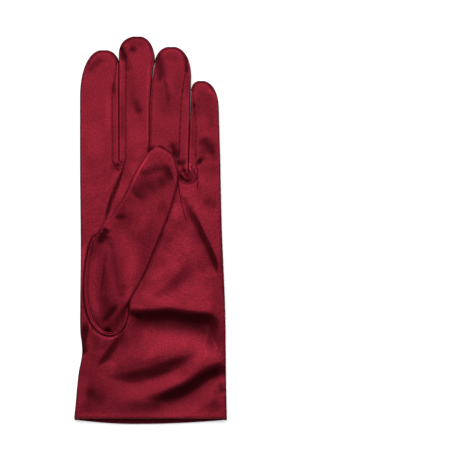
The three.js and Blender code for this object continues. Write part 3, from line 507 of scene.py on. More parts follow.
def seamTurn(f, side, face, share):
    # How far round the section a seam lies, in turns from the side
    rows = fingers[f]["seams"][0 if side < 0 else 1]
    if rows is None:
        return np.zeros_like(share)
    inward = curveAt(rows if face == front else backSeam, share)
    turn = np.interp(-(1 - inward), -fingerShape["across"], fingerShape["arc"])
    fade = 1 - smooth((share - wing["end"] + wing["fade"]) / wing["fade"])
    return np.where(share < wing["end"], np.maximum(turn * fade, wing["narrowest"]), 0)


def crotchTurn(line, turn, face):
    left = seamTurn(line - 1, 1, face, np.zeros(1))
    right = seamTurn(line, -1, face, np.zeros(1))
    return lerp(left, right, turn) + crotchBow * np.sin(math.pi * turn)


def stripGrid(f, face, inset):
    # A finger's part of the palm or back panel: rows from its root to its tip
    left, right = seamTurn(f, -1, face, rowShares), seamTurn(f, 1, face, rowShares)
    start = (left + np.where(left > 0, seamHalfGap, 0))[:, None]
    end = (2 - right - np.where(right > 0, seamHalfGap, 0))[:, None]
    turn = lerp(start, end, np.linspace(0, 1, mesh["fingerColumns"] + 1)[None, :])
    across, up = sectionAt(fingerShape, turn)
    leftY, rightY = rowHeights(f, -1, inset)[:, None], rowHeights(f, 1, inset)[:, None]
    y = lerp(leftY, rightY, (across - across[:, :1]) / (across[:, -1:] - across[:, :1]))
    middle, half, fullness = fingerSection(f, y, inset)
    points = np.stack([middle + half * across, y, fingerHeight(face, up * fullness, inset)], -1)
    toSeam = np.minimum(turn - left[:, None], 2 - right[:, None] - turn) * glove["fingerArc"]
    return points, toSeam


def crotchPoint(line, turn, sectionTurn, face, inset):
    y = crotchOf(line)
    leftHalf = fingerSection(line - 1, y, 0)[1]
    rightHalf = fingerSection(line, y, 0)[1]
    across, up = sectionAt(fingerShape, np.abs(sectionTurn))
    depth = lerp(leftHalf, rightHalf, turn) - inset
    out = glove["fingerGap"] / 2 + inset + depth * (1 + across)
    bearing = math.pi * (1 + turn)
    power = 2 / fingerLines[line]["pointed"]
    aside = np.sign(np.cos(bearing)) * np.abs(np.cos(bearing)) ** power
    drop = lerp(1, fingerLines[line]["drop"], np.clip(out / glove["dropReach"], 0, 1))
    down = -np.abs(np.sin(bearing)) ** power * drop
    x = fingerLines[line]["root"] * halfPalm + out * aside
    height = np.where(sectionTurn < 0, fingerHeight(back, up, inset), fingerHeight(front, up, inset))
    if face is not None:
        height = fingerHeight(face, up, inset)
    return np.stack([x, y + out * down, height], -1)


def rootPoints(face, inset):
    # The panel at its root line: the strips' first rows, and the notches between them
    points, toSeam = [], []
    for f in range(len(fingers)):
        strip, distance = stripGrid(f, face, inset)
        points.append(strip[0])
        toSeam.append(distance[0])
        if f == len(fingers) - 1:
            break
        turn = np.arange(1, mesh["notchColumns"]) / mesh["notchColumns"]
        sectionTurn = crotchTurn(f + 1, turn, face) + seamHalfGap
        notch = crotchPoint(f + 1, turn, sectionTurn, face, inset)
        points.append(notch)
        toSeam.append(np.zeros(len(turn)))
    return np.concatenate(points), np.concatenate(toSeam)


def panelGrid(face, down, inset):
    # The part of a panel below its fingers. down runs from 0 at the roots to 1 at the cuff.
    roots, _ = rootPoints(face, inset)
    last = len(roots) - 1
    column = np.arange(last + 1) / last
    onSide = (column == 0) | (column == 1)
    rootX, rootY, rootZ = roots[:, 0], roots[:, 1], roots[:, 2]
    left, right, _ = palmSection(rootY)
    rootShare = np.where(onSide, column, (rootX - left - inset) / (right - left - 2 * inset))
    evenShare = lerp(column, 0.5 - 0.5 * np.cos(math.pi * column), mesh["sideCrowding"])
    down = down[:, None]
    evenness = smooth(down * glove["palmLength"] / glove["evenBlend"])
    share = lerp(rootShare, evenShare, evenness)
    dipAt = glove["dipAt"]
    away = (share - dipAt) / np.where(share < dipAt, dipAt, 1 - dipAt)
    dip = glove["frontDip"] if face == front else glove["dipRise"] * away ** 2 - glove["dipBelow"]
    hem = cuffEdge + dip
    y = lerp(rootLine, hem, down) + (rootY - rootLine) * (1 - evenness)
    left, right, _ = palmSection(y)
    x = lerp(left + inset, right - inset, share)
    fade = np.where(onSide, 0, 1 - smooth((rootY - y) / glove["rootBlend"]))
    z = lerp(palmHeight(face, share, y, inset), rootZ, fade)
    points = np.stack([x, y, z], -1)
    points[down[:, 0] == 0] = roots
    return points, share


def smoothPath(path, steps=8):
    # Points on a smooth curve through a fold's path
    path = np.array(path, float)
    ends = np.concatenate([[2 * path[0] - path[1]], path, [2 * path[-1] - path[-2]]])
    out = []
    for i in range(1, len(ends) - 2):
        a, b, c, d = ends[i - 1:i + 3]
        for t in np.arange(steps) / steps:
            out.append(0.5 * (2 * b + (c - a) * t + (2 * a - 5 * b + 4 * c - d) * t ** 2
                              + (3 * b - a - 3 * c + d) * t ** 3))
    out.append(path[-1])
    return np.array(out)


def nearPath(x, y, path):
    # Distance to a path, positive on its right, and the share of the way along it
    lengths = np.hypot(*np.diff(path, axis=0).T)
    starts = np.concatenate([[0], np.cumsum(lengths)])
    best = np.full(len(x), 1e9)
    side, along = np.ones(len(x)), np.zeros(len(x))
    for i, length in enumerate(lengths):
        dx, dy = (path[i + 1] - path[i]) / length
        px, py = x - path[i][0], y - path[i][1]
        t = np.clip(px * dx + py * dy, 0, length)
        distance = np.hypot(px - t * dx, py - t * dy)
        closer = distance < best
        best = np.where(closer, distance, best)
        side = np.where(closer, np.where(dx * py - dy * px > 0, -1, 1), side)
        along = np.where(closer, (starts[i] + t) / starts[-1], along)
    return best * side, along


def acrossFold(x, y, path):
    # The same for a long fold, measured straight across its chord, so that nothing jumps in its bends
    chord = path[-1] - path[0]
    length = math.hypot(*chord)
    ex, ey = chord / length
    far = (path[:, 0] - path[0][0]) * ex + (path[:, 1] - path[0][1]) * ey
    aside = (path[:, 0] - path[0][0]) * ey - (path[:, 1] - path[0][1]) * ex
    slope = np.gradient(aside, far)
    u = (x - path[0][0]) * ex + (y - path[0][1]) * ey
    w = (x - path[0][0]) * ey - (y - path[0][1]) * ex
    return (w - np.interp(u, far, aside)) / np.hypot(1, np.interp(u, far, slope)), np.clip(u / length, 0, 1)


# How a fold's profile runs. Lengths are in falls, and ends are what is left of a size where it dies away.
foldShape = {
    "dentEnds": 0.6, "foldEnds": 0.4, "sharpPower": 2.2, "crestWidth": 1.4,
    "shadeStart": 0.12, "shadeSoft": 0.6, "shadeSharp": 0.25,   # where its dark side starts, and how soon
    "fade": 0.8, "fadeFrom": 0.3, "fadePower": 3,               # and how it fades
}


def foldLift(folds, x, y):
    # How far a table of folds lifts the cloth at each point, and how much painted shade or painted
    # highlight it lays there
    lift, crease = np.zeros(len(x)), np.zeros(len(x))
    for fold in folds.values():
        path = smoothPath(fold["path"])
        reach = 3 * fold["width"] if "width" in fold else 3 * fold["fall"] + fold["back"]
        low, high = path.min(0) - reach, path.max(0) + reach
        near = np.nonzero((x > low[0]) & (x < high[0]) & (y > low[1]) & (y < high[1]))[0]
        if len(near) == 0:
            continue
        first, second = fold.get("ends", (0.3, 0.3))
        if "width" in fold:
            off, along = nearPath(x[near], y[near], path)
            strength = smooth(along / first) * smooth((1 - along) / second)
            bell = np.exp(-(off / (fold["width"] * lerp(foldShape["dentEnds"], 1, strength))) ** 2)
            lift[near] -= fold.get("deep", 0) * strength * bell
            crease[near] += fold["dark"] * strength * bell
            continue
        off, along = acrossFold(x[near], y[near], path)
        strength = smooth(along / first) * smooth((1 - along) / second)
        shrink = lerp(foldShape["foldEnds"], 1, strength)
        fall = fold["fall"] * shrink
        s = off / fall + 0.5
        t = np.clip(s, 0, 1)
        drop = lerp(smooth(s), 1 - (1 - t) ** foldShape["sharpPower"], fold["sharp"])
        rise = fold["crest"] * np.exp(-(np.minimum(s, 0) / foldShape["crestWidth"]) ** 2)
        falling = fold["crest"] - (fold["crest"] + fold["deep"]) * drop
        rising = -fold["deep"] * (1 - smooth((off - fall / 2) / fold["back"]))
        profile = np.where(s < 0, rise, np.where(s < 1, falling, rising))
        lift[near] += strength * profile
        growth = lerp(foldShape["shadeSoft"], foldShape["shadeSharp"], fold["sharp"])
        edge = smooth((s + foldShape["shadeStart"]) / growth)
        fade = fold.get("fade", foldShape["fade"] * fold["fall"]) * shrink
        past = np.maximum(off + foldShape["fadeFrom"] * fall, 0)
        fading = np.exp(-(past / fade) ** foldShape["fadePower"])
        crease[near] += fold["dark"] * strength * edge * fading
    return lift, np.clip(crease, -1, 1)


# Slow uneven waves of the cloth: their number, lengths and height in millimetres
waves = {"count": 22, "shortest": 12, "longest": 32, "height": 0.03, "seed": 7}


def ripple(x, y):
    random = np.random.default_rng(waves["seed"])
    out = np.zeros(len(x))
    for _ in range(waves["count"]):
        length = random.uniform(waves["shortest"], waves["longest"])
        bearing = random.uniform(0, math.pi)
        phase = random.uniform(0, 2 * math.pi)
        out += np.sin((x * math.cos(bearing) + y * math.sin(bearing)) * 2 * math.pi / length + phase)
    return out * waves["height"] / math.sqrt(waves["count"] / 2)


# The sewn line over each fingertip lies inside the outline, and reaches down a share of the finger's
# length.
# It is a shallow groove with painted shade along it.
tipSeam = {"inset": 1.2, "reach": 0.14, "steps": 8, "width": 0.55, "deep": 0.1, "dark": 0.9}


def tipSeamPath(f):
    # From one shoulder over the tip to the other
    inset, length = tipSeam["inset"], fingers[f]["length"]
    y = rootLine + length - inset - np.linspace(1, 0, tipSeam["steps"] + 1) ** 2 * length * tipSeam["reach"]
    leftSide = [(float(fingerSide(f, -1, v, inset)), float(v)) for v in y]
    rightSide = [(float(fingerSide(f, 1, v, inset)), float(v)) for v in y[::-1]]
    return (leftSide[:-1] + rightSide)[::2]


for number, finger in enumerate(fingers):
    frontFolds["seam over the " + finger["name"]] = {
        "width": tipSeam["width"], "deep": tipSeam["deep"], "dark": tipSeam["dark"], "ends": (0.08, 0.08),
        "path": tipSeamPath(number),
    }


def seamSink(distance, along):
    # How far the cloth rolls in, near a seam, with shallow puckers along it
    wave = 1 + seamRoll["pucker"] * np.sin(along * 2 * math.pi / seamRoll["puckerPitch"])
    return seamRoll["depth"] * wave * np.exp(-(distance / seamRoll["width"]) ** 2)


thumb = {
    "holeLength": 60, "holeWidth": 24, "holeTilt": math.radians(8.5), "holeTaper": 0.36,
    "holeMiddle": (-0.657 * halfPalm, cuffEdge + 0.532 * glove["palmLength"]),
    "length": 73, "width": 34, "lean": math.radians(21),
    "foldMiddle": (-0.461 * halfPalm, cuffEdge + 0.634 * glove["palmLength"]),
    "power": 16, "aspect": 0.3,
    "top": 3.3, "under": 1.9,           # its crown above its widest line, and its underside below that
    "baseTop": 1.5, "baseUnder": 0.8,   # the same where it starts
    "grow": 0.55,                       # share of its length over which it reaches full thickness
    "clearance": 0.45,                  # between its underside and the palm's crest
    "columns": 120, "baseRows": 34, "rows": 92,
    "ridge": 0.5, "ridgeWidth": 0.75, "ridgeAt": 1.0,   # rolled edge between the seam's two rows
    "groove": 0.55, "grooveWidth": 0.5, "grooveAt": 2.1,
    "crowding": 1.25,                   # its rows crowd towards the seam by this power
    "sewnAbove": 0.25, "rimDrop": 0.9,  # its edge lies this far above the palm, and turns down by this much
    "foldGrow": 3,                      # its folds reach full strength this far from the seam
}
thumbLeft = [(0.27, -0.455), (0.32, -0.383), (0.51, -0.295), (0.72, -0.259), (0.88, -0.187),
             (0.945, -0.123), (0.985, -0.055), (1, 0)]
thumbRight = [(-0.27, 0.457), (-0.02, 0.517), (0.25, 0.54), (0.48, 0.556), (0.715, 0.517),
              (0.805, 0.475), (0.9, 0.35), (0.98, 0.17), (1, 0)]
thumbShape = sectionOf(thumb["power"], thumb["aspect"])
# Round the thumb: its top from 0 on the left to 2 on the right, and its underside on to 4
thumbAround = np.linspace(0, 4, thumb["columns"] + 1)[None, :]


def thumbSeam(around, grow):
    # around runs from 0 at the web, by the glove's side, to pi at the wrist end
    long = thumb["holeLength"] / 2 + grow
    wide = (thumb["holeWidth"] / 2 + grow) * (1 - thumb["holeTaper"] * np.cos(around))
    upX, upY = -math.sin(thumb["holeTilt"]), math.cos(thumb["holeTilt"])
    x, y = thumb["holeMiddle"]
    return (x + upX * long * np.cos(around) - upY * wide * np.sin(around),
            y + upY * long * np.cos(around) + upX * wide * np.sin(around))


def thumbSide(rows, share, inset):
    along = lerp(rows[0][0], rows[-1][0] - inset / thumb["length"], share)
    out = curveAt(rows, along) * thumb["width"]
    x, y = thumb["foldMiddle"]
    c, s = math.cos(thumb["lean"]), math.sin(thumb["lean"])
    far = along * thumb["length"]
    return x + s * far + c * out, y + c * far - s * out


def thumbLying(share, turn, inset):
    leftX, leftY = thumbSide(thumbLeft, share, inset)
    rightX, rightY = thumbSide(thumbRight, share, inset)
    width = np.hypot(rightX - leftX, rightY - leftY)
    keep = np.where((share < 1) & (width > 2 * inset), 1 - 2 * inset / np.maximum(width, 1e-6), 0)
    under = turn > 2
    across, up = sectionAt(thumbShape, np.where(under, 4 - turn, turn))
    place = (1 + keep * across) / 2
    x, y = lerp(leftX, rightX, place), lerp(leftY, rightY, place)
    grown = smooth(share / thumb["grow"])
    top = lerp(thumb["baseTop"], thumb["top"], grown)
    low = lerp(thumb["baseUnder"], thumb["under"], grown)
    full = np.minimum(1, width / (2 * (top + low)))
    rest = glove["sideHeight"] + palmSection(y)[2] + thumb["clearance"] + low
    lift = up * np.maximum(0, np.where(under, low, top) * full - inset)
    points = np.stack([x, y, np.where(under, rest - lift, rest + lift)], -1)
    return points, np.where(under, 0, up) + 0 * x


def thumbGrids(inset):
    around = np.where(thumbAround == 4, 0, thumbAround)
    ringX, ringY = thumbSeam(around * math.pi / 2, -inset)
    edgeX, edgeY = thumbSeam(around * math.pi / 2, 0)
    sewn = palmTop(edgeX, edgeY) + foldLift(frontFolds, edgeX[0], edgeY[0])[0]
    lean = (np.linspace(0, 1, thumb["baseRows"] + 1) ** thumb["crowding"])[:, None]
    start, _ = thumbLying(np.zeros((1, 1)), around, inset)
    ease = np.where(around <= 2, 1 - (1 - lean) ** 2, lean)
    x, y = lerp(ringX, start[..., 0], lean), lerp(ringY, start[..., 1], lean)
    z = lerp(sewn + thumb["sewnAbove"] - 0.4 * inset, start[..., 2], ease)
    base = np.stack([x, y, z], -1)
    rim = base[:1].copy()
    rim[..., 2] -= thumb["rimDrop"]
    base = np.concatenate([rim, base])
    fromSeam = np.hypot(base[..., 0] - edgeX, base[..., 1] - edgeY)
    share = np.sin(np.linspace(0, 1, thumb["rows"] + 1) * math.pi / 2)[1:, None]
    lying, up = thumbLying(share, around, inset)
    points = np.concatenate([base, lying])
    topHalf = np.where(around <= 2, np.sin(around * math.pi / 2) ** 0.5, 0) * np.ones((len(base), 1))
    amount = np.concatenate([topHalf * smooth(fromSeam / thumb["foldGrow"]), up])
    fromSeam = np.concatenate([fromSeam, np.full(lying.shape[:2], farAway)])
    return points, amount, fromSeam


def insideThumb(x, y):
    # True where the thumb lies over a point of the palm
    share = np.linspace(0, 1, 40)
    leftX, leftY = thumbSide(thumbLeft, share, 0)
    rightX, rightY = thumbSide(thumbRight, share, 0)
    outline = np.concatenate([np.stack([leftX, leftY], -1), np.stack([rightX, rightY], -1)[::-1]])
    inside = np.zeros(len(x), bool)
    for a, b in zip(outline, np.roll(outline, -1, 0)):
        crosses = (a[1] > y) != (b[1] > y)
        at = a[0] + (y - a[1]) / np.where(b[1] == a[1], 1e-9, b[1] - a[1]) * (b[0] - a[0])
        inside ^= crosses & (x < at)
    return inside


def mergeGrids(grids):
    # One set of vertices for grids that share edges. Each vertex has its outer and inner point.
    outer = np.concatenate([g["outer"].reshape(-1, 3) for g in grids])
    inner = np.concatenate([g["inner"].reshape(-1, 3) for g in grids])
    values = {key: np.concatenate([np.broadcast_to(g[key], g["outer"].shape[:2]).reshape(-1)
                                   for g in grids])
              for key in ("sink", "pinch", "amount", "shown", "dark")}
    micrometres = np.round(outer * 1000).astype(np.int64)
    _, first, ids = np.unique(micrometres, axis=0, return_index=True, return_inverse=True)
    ids = ids.reshape(-1)
    quads, places, start = [], [], 0
    for g in grids:
        rows, columns = g["outer"].shape[:2]
        block = ids[start:start + rows * columns].reshape(rows, columns)
        start += rows * columns
        places.append(block)
        quads.append(np.stack([block[:-1, :-1], block[:-1, 1:], block[1:, 1:], block[1:, :-1]], -1)
                     .reshape(-1, 4))
    quads = np.concatenate(quads)
    triangles = np.concatenate([quads[:, [0, 1, 2]], quads[:, [0, 2, 3]]])
    a, b, c = triangles.T
    triangles = triangles[(a != b) & (b != c) & (c != a)]
    return outer[first], inner[first], {k: v[first] for k, v in values.items()}, triangles, places


def vertexNormals(points, triangles):
    a, b, c = (points[triangles[:, i]] for i in range(3))
    faceNormals = np.cross(b - a, c - a)
    normals = np.zeros_like(points)
    for i in range(3):
        np.add.at(normals, triangles[:, i], faceNormals)
    length = np.linalg.norm(normals, axis=1, keepdims=True)
    return normals / np.maximum(length, 1e-12)


def closedShell(outer, inner, triangles):
    # The outer and inner faces, and the edges that join them
    count = len(outer)
    edges = np.concatenate([triangles[:, [0, 1]], triangles[:, [1, 2]], triangles[:, [2, 0]]])
    forward = edges[:, 0] * count + edges[:, 1]
    backward = edges[:, 1] * count + edges[:, 0]
    rim = edges[~np.isin(forward, backward)]
    a, b = rim[:, 0], rim[:, 1]
    sharp = np.concatenate([rim, rim + count])
    faces = np.concatenate([
        triangles, triangles[:, ::-1] + count,
        np.stack([b, a, a + count], -1), np.stack([b, a + count, b + count], -1),
    ])
    points = np.concatenate([outer, inner])
    p, q, r = (points[faces[:, i]] for i in range(3))
    if np.einsum("ij,ij->i", p, np.cross(q, r)).sum() < 0:
        faces = faces[:, ::-1]
    return points, faces, sharp


def addObject(name, data):
    thing = bpy.data.objects.new(name, data)
    bpy.context.scene.collection.objects.link(thing)
    return thing


def addMesh(name, points, faces, sharp, material, values):
    data = bpy.data.meshes.new(name)
    used, faces = np.unique(faces, return_inverse=True)
    faces = faces.reshape(-1, 3)
    data.from_pydata((points[used] * millimetre).tolist(), [], faces.tolist())
    data.polygons.foreach_set("use_smooth", np.ones(len(data.polygons), bool))
    # The cut edges of the cloth are sharp, so that its faces stay flat up to a seam
    edges = np.empty(2 * len(data.edges), np.int32)
    data.edges.foreach_get("vertices", edges)
    edges = np.sort(used[edges.reshape(-1, 2)], 1)
    wanted = np.sort(sharp, 1)
    marks = data.attributes.new("sharp_edge", "BOOLEAN", "EDGE")
    marks.data.foreach_set("value", np.isin(edges @ [len(points), 1], wanted @ [len(points), 1]))
    for key, value in values.items():
        attribute = data.attributes.new(key, "FLOAT", "POINT")
        attribute.data.foreach_set("value", value[used].astype(np.float32))
    data.materials.append(material)
    data.update()
    return addObject(name, data)


# Satin: the colours are linear, and the sizes of its textures and the heights are in millimetres. The
# colour is mixed towards its dark second colour as painted shade in the folds, and made lighter as
# painted highlight where folds catch the light.
satin = {
    "colour": (0.106, 0.0064, 0.0125), "paintedShadeColour": (0.014, 0.0014, 0.0022), "paintedShadeShare": 0.9,
    "paintedHighlightShare": 0.9, "mottle": 0.05, "mottleSize": 11, "fleck": 0.32, "fleckSize": 0.9,
    "fleckFrom": 0.25, "fleckTo": 0.75, "grainSize": 1.3, "grainHeight": 0.06,
    "weaveSize": 2.73, "weaveHeight": 0.012, "weaveUneven": 0.6,
    "roughness": 0.42, "metallic": 0.6, "specular": 0.0,
}
# The turned hem is duller satin, and its darker colour is painted shade for the inside of the cuff
shadedHemSatin = {**satin, "colour": (0.06, 0.004, 0.008), "metallic": 0.15, "roughness": 0.6}
thread = {**satin, "colour": (0.16, 0.009, 0.02), "metallic": 0.1, "roughness": 0.5}


def setInputs(tree, node, inputs):
    # Gives inputs a value, or links them to the output of another node
    for key, value in inputs.items():
        if isinstance(value, bpy.types.NodeSocket):
            tree.links.new(value, node.inputs[key])
        else:
            node.inputs[key].default_value = value
    return node


def makeNode(tree, kind, inputs, **settings):
    node = tree.nodes.new(kind)
    for key, value in settings.items():
        setattr(node, key, value)
    return setInputs(tree, node, inputs)


def socketOf(sockets, kind, place=0):
    # Some nodes have a socket of the same name for each kind of value
    return [s for s in sockets if s.type == kind][place]


def makeSatin(name, look):
    material = bpy.data.materials.new(name)
    material.use_nodes = True
    tree = material.node_tree
    place = makeNode(tree, "ShaderNodeTexCoord", {}).outputs["Object"]
    # the attribute is 1 where the darkest painted shade lies in the folds, and below 0 where a painted
    # highlight lies
    crease = makeNode(tree, "ShaderNodeAttribute", {}, attribute_name="crease").outputs["Fac"]

    def noise(size, detail):
        inputs = {"Vector": place, "Scale": 1 / (size * millimetre), "Detail": detail}
        return makeNode(tree, "ShaderNodeTexNoise", inputs).outputs["Fac"]

    def remap(value, ends):
        return makeNode(tree, "ShaderNodeMapRange", {"Value": value, **ends}).outputs["Result"]

    def bump(height, distance, normal):
        inputs = {"Height": height, "Distance": distance * millimetre, **normal}
        return makeNode(tree, "ShaderNodeBump", inputs).outputs["Normal"]

    mottle = remap(noise(look["mottleSize"], 3), {
        "To Min": 1 - look["mottle"], "To Max": 1 + look["mottle"]})
    fleck = remap(noise(look["fleckSize"], 2), {
        "From Min": look["fleckFrom"], "From Max": look["fleckTo"],
        "To Min": 1 - look["fleck"], "To Max": 1 + look["fleck"]})
    # painted highlight: the colour grows lighter where the attribute is below 0, and varies with fleck and
    # mottle
    paintedHighlightAndMottle = remap(crease, {"From Min": -1, "From Max": 0, "To Min": 1 + look["paintedHighlightShare"], "To Max": 1})
    for factor in (fleck, mottle):
        paintedHighlightAndMottle = makeNode(tree, "ShaderNodeMath", {0: paintedHighlightAndMottle, 1: factor}, operation="MULTIPLY").outputs["Value"]
    tint = makeNode(tree, "ShaderNodeVectorMath", {0: look["colour"], "Scale": paintedHighlightAndMottle}, operation="SCALE")
    # painted shade: the colour is mixed towards the dark second colour where the attribute is above 0
    depth = remap(crease, {"To Max": look["paintedShadeShare"]})
    mix = makeNode(tree, "ShaderNodeMix", {"Factor": depth}, data_type="RGBA")
    tree.links.new(tint.outputs["Vector"], socketOf(mix.inputs, "RGBA"))
    socketOf(mix.inputs, "RGBA", 1).default_value = (*look["paintedShadeColour"], 1)

    weave = makeNode(tree, "ShaderNodeTexWave", {
        "Vector": place, "Scale": 1 / (look["weaveSize"] * millimetre), "Distortion": look["weaveUneven"],
    }, bands_direction="DIAGONAL")
    grainNormal = bump(noise(look["grainSize"], 2), look["grainHeight"], {})
    setInputs(tree, tree.nodes["Principled BSDF"], {
        "Base Color": socketOf(mix.outputs, "RGBA"), "Roughness": look["roughness"],
        "Metallic": look["metallic"], "Specular IOR Level": look["specular"],
        "Normal": bump(weave.outputs["Fac"], look["weaveHeight"], {"Normal": grainNormal}),
    })
    return material


satinMaterial = makeSatin("burgundySatin", satin)
shadedHemMaterial = makeSatin("burgundySatinTurned", shadedHemSatin)
threadMaterial = makeSatin("burgundyThread", thread)


# How the cloth is set: how far a fold may rise under the thumb, and how low the cloth may come
cloth = {"underThumb": 0.1, "lowest": 0.02}
# The thumb hole: its outline, how far the palm turns in round it and how much painted shade it gets there,
# and how far from its middle a point may be to count as near it
hole = {
    "points": 720, "step": 6, "grow": 0.1, "sink": 0.5, "sinkWidth": 0.8, "dark": 0.8,
    "reachAcross": 22, "reachAlong": 40,
}
holeX, holeY = thumbSeam(np.linspace(0, 2 * math.pi, hole["points"] + 1)[:-1], hole["grow"])
holeLine = np.concatenate([np.stack([holeX, holeY], -1), [[holeX[0], holeY[0]]]])


def offHole(x, y):
    # Distance outside the hole. It lies on the left of its outline, where distances are negative.
    near = ((np.abs(x - thumb["holeMiddle"][0]) < hole["reachAcross"])
            & (np.abs(y - thumb["holeMiddle"][1]) < hole["reachAlong"]))
    out = np.full(len(x), farAway)
    out[near], _ = nearPath(x[near], y[near], holeLine[::hole["step"]])
    return out


def cutHole(triangles, outer, inner):
    inside = offHole(outer[:, 0], outer[:, 1]) < 0
    kept = triangles[~inside[triangles].all(1)]
    moved = np.unique(kept)
    moved = moved[inside[moved]]
    gap = holeLine[None, :, :] - outer[moved, None, :2]
    nearest = holeLine[np.argmin((gap ** 2).sum(2), 1)]
    outer[moved, :2] = nearest
    inner[moved, :2] = nearest
    return kept


def pinchAt(distance):
    # The two faces of the cloth meet over the last of its folded edge
    radius = glove["wall"] / 2
    near = np.clip(radius - distance, 0, radius)
    return glove["cuffClose"] * (radius - np.sqrt(radius ** 2 - near ** 2))


def shapedPiece(name, grids, folds, material, slotName, withHole=False):
    outer, inner, values, triangles, places = mergeGrids(grids)
    normals = vertexNormals(outer, triangles)
    if np.einsum("ij,ij->i", normals, outer - inner).sum() < 0:
        triangles, normals = triangles[:, ::-1], -normals
    x, y = outer[:, 0].copy(), outer[:, 1].copy()
    lift, crease = foldLift(folds, x, y)
    lift = lift + ripple(x, y)
    if folds is frontFolds:
        lift = np.where(insideThumb(x, y), np.minimum(lift, cloth["underThumb"]), lift)
    lift *= values["amount"]
    crease = crease * values["shown"] + values["dark"]
    sink, pinch = values["sink"], values["pinch"]
    if withHole:
        turnedIn = np.exp(-(np.maximum(offHole(x, y), 0) / hole["sinkWidth"]) ** 2)
        sink = sink + hole["sink"] * turnedIn
        crease = crease + hole["dark"] * turnedIn
    outer = outer - normals * (sink + pinch)[:, None]
    inner = inner - normals * (sink - pinch)[:, None]
    outer[:, 2] += lift
    inner[:, 2] += lift
    outer[:, 2] = np.maximum(outer[:, 2], cloth["lowest"])
    if withHole:
        triangles = cutHole(triangles, outer, inner)
    crease = np.clip(crease, -1, 1)
    points, faces, sharp = closedShell(outer, inner, triangles)
    piece = addMesh(name, points, faces, sharp, material, {"crease": np.concatenate([crease, crease])})
    print(f"{name}: {len(faces)} triangles")
    return piece, outer, places, slotName


# painted shade along a seam, where the cloth rolls in
def seamDark(distance):
    return seamRoll["dark"] * np.exp(-(distance / seamRoll["width"]) ** 2)


# Painted highlight on the rounded edges between the fingers, and painted shade on the back towards the cuff
fingerEdge = {"light": 0.8, "width": 1.1}
backCuff = {"dark": 0.5, "width": 4}
rollSlope = 0.25    # how fast the roll into the side seams dies away over the flat of the palm


def edgeLight(distance):
    return fingerEdge["light"] * np.exp(-(distance / fingerEdge["width"]) ** 2)


def frontAmount(points):
    height = np.clip((points[..., 2] - glove["sideHeight"]) / glove["fingerRise"], 0, 1)
    return height ** glove["foldTaper"]


def panelGrids(face):
    edgeRows = np.array(mesh["cuffEdge"]) / glove["palmLength"]
    down = 1 - np.concatenate([edgeRows, np.linspace(edgeRows[-1], 1, mesh["palmRows"] + 1)[1:]])
    points, share = panelGrid(face, down, 0)
    roots, rootSeam = rootPoints(face, 0)
    fromRoot = np.hypot(rootSeam[None, :], roots[None, :, 1] - points[..., 1])
    fromSide = np.abs(points[..., 2] - glove["sideHeight"]) + rollSlope * np.minimum(
        points[..., 0] - points[:, :1, 0], points[:, -1:, 0] - points[..., 0])
    toCuff = points[..., 1] - points[:1, :, 1]
    # painted shade on the back near the cuff
    cuffDark = 0 if face == front else backCuff["dark"] * np.exp(-(toCuff / backCuff["width"]) ** 2)
    grids = [{
        "outer": points, "inner": panelGrid(face, down, glove["wall"])[0],
        "sink": seamSink(np.minimum(fromRoot, fromSide), points[..., 1]), "pinch": pinchAt(toCuff),
        "amount": frontAmount(points) if face == front else 0, "shown": frontAmount(points),
        "dark": seamDark(fromRoot) + cuffDark,
    }]
    for f in range(len(fingers)):
        points, toSeam = stripGrid(f, face, 0)
        grids.append({
            "outer": points, "inner": stripGrid(f, face, glove["wall"])[0],
            "sink": seamSink(toSeam, points[..., 1]), "pinch": 0,
            "amount": frontAmount(points) if face == front else 0, "shown": frontAmount(points),
            "dark": seamDark(toSeam),
        })
    return grids


def wingGrid(f, side, inset):
    share = rowShares[:wingRows]
    top = seamTurn(f, side, front, share)[:, None] - seamHalfGap
    under = seamTurn(f, side, back, share)[:, None] - seamHalfGap
    turn = lerp(top, -under, np.linspace(0, 1, mesh["sideColumns"] + 1)[None, :])
    across, up = sectionAt(fingerShape, np.abs(turn))
    y = rowHeights(f, side, inset)[:wingRows, None]
    middle, half, fullness = fingerSection(f, y, inset)
    up = up * fullness
    z = np.where(turn < 0, fingerHeight(back, up, inset), fingerHeight(front, up, inset))
    points = np.stack([middle - side * half * across, y + 0 * turn, z], -1)
    return points, np.minimum(top - turn, turn + under) * glove["fingerArc"], half * (1 + across)


def fourchetteGrids(line):
    def rows(inset):
        left, leftSeam, leftEdge = wingGrid(line - 1, 1, inset)
        right, rightSeam, rightEdge = wingGrid(line, -1, inset)
        turn = (np.arange(1, mesh["notchColumns"]) / mesh["notchColumns"])[:, None]
        top = crotchTurn(line, turn, front) - seamHalfGap
        under = crotchTurn(line, turn, back) - seamHalfGap
        around = lerp(top, -under, np.linspace(0, 1, mesh["sideColumns"] + 1)[None, :])
        notch = crotchPoint(line, turn + 0 * around, around, None, inset)
        notchSeam = np.minimum(top - around, around + under) * glove["fingerArc"]
        return (np.concatenate([left[::-1], notch, right]),
                np.concatenate([leftSeam[::-1], notchSeam, rightSeam]),
                np.concatenate([leftEdge[::-1], farAway + 0 * notchSeam, rightEdge]))

    points, toSeam, toEdge = rows(0)
    return [{"outer": points, "inner": rows(glove["wall"])[0], "pinch": 0,
             "sink": seamSink(toSeam, points[..., 1]), "amount": frontAmount(points),
             "shown": frontAmount(points), "dark": seamDark(toSeam) - edgeLight(toEdge)}]


cuffHem = {"depth": 14, "gap": 0.35, "rows": 18}


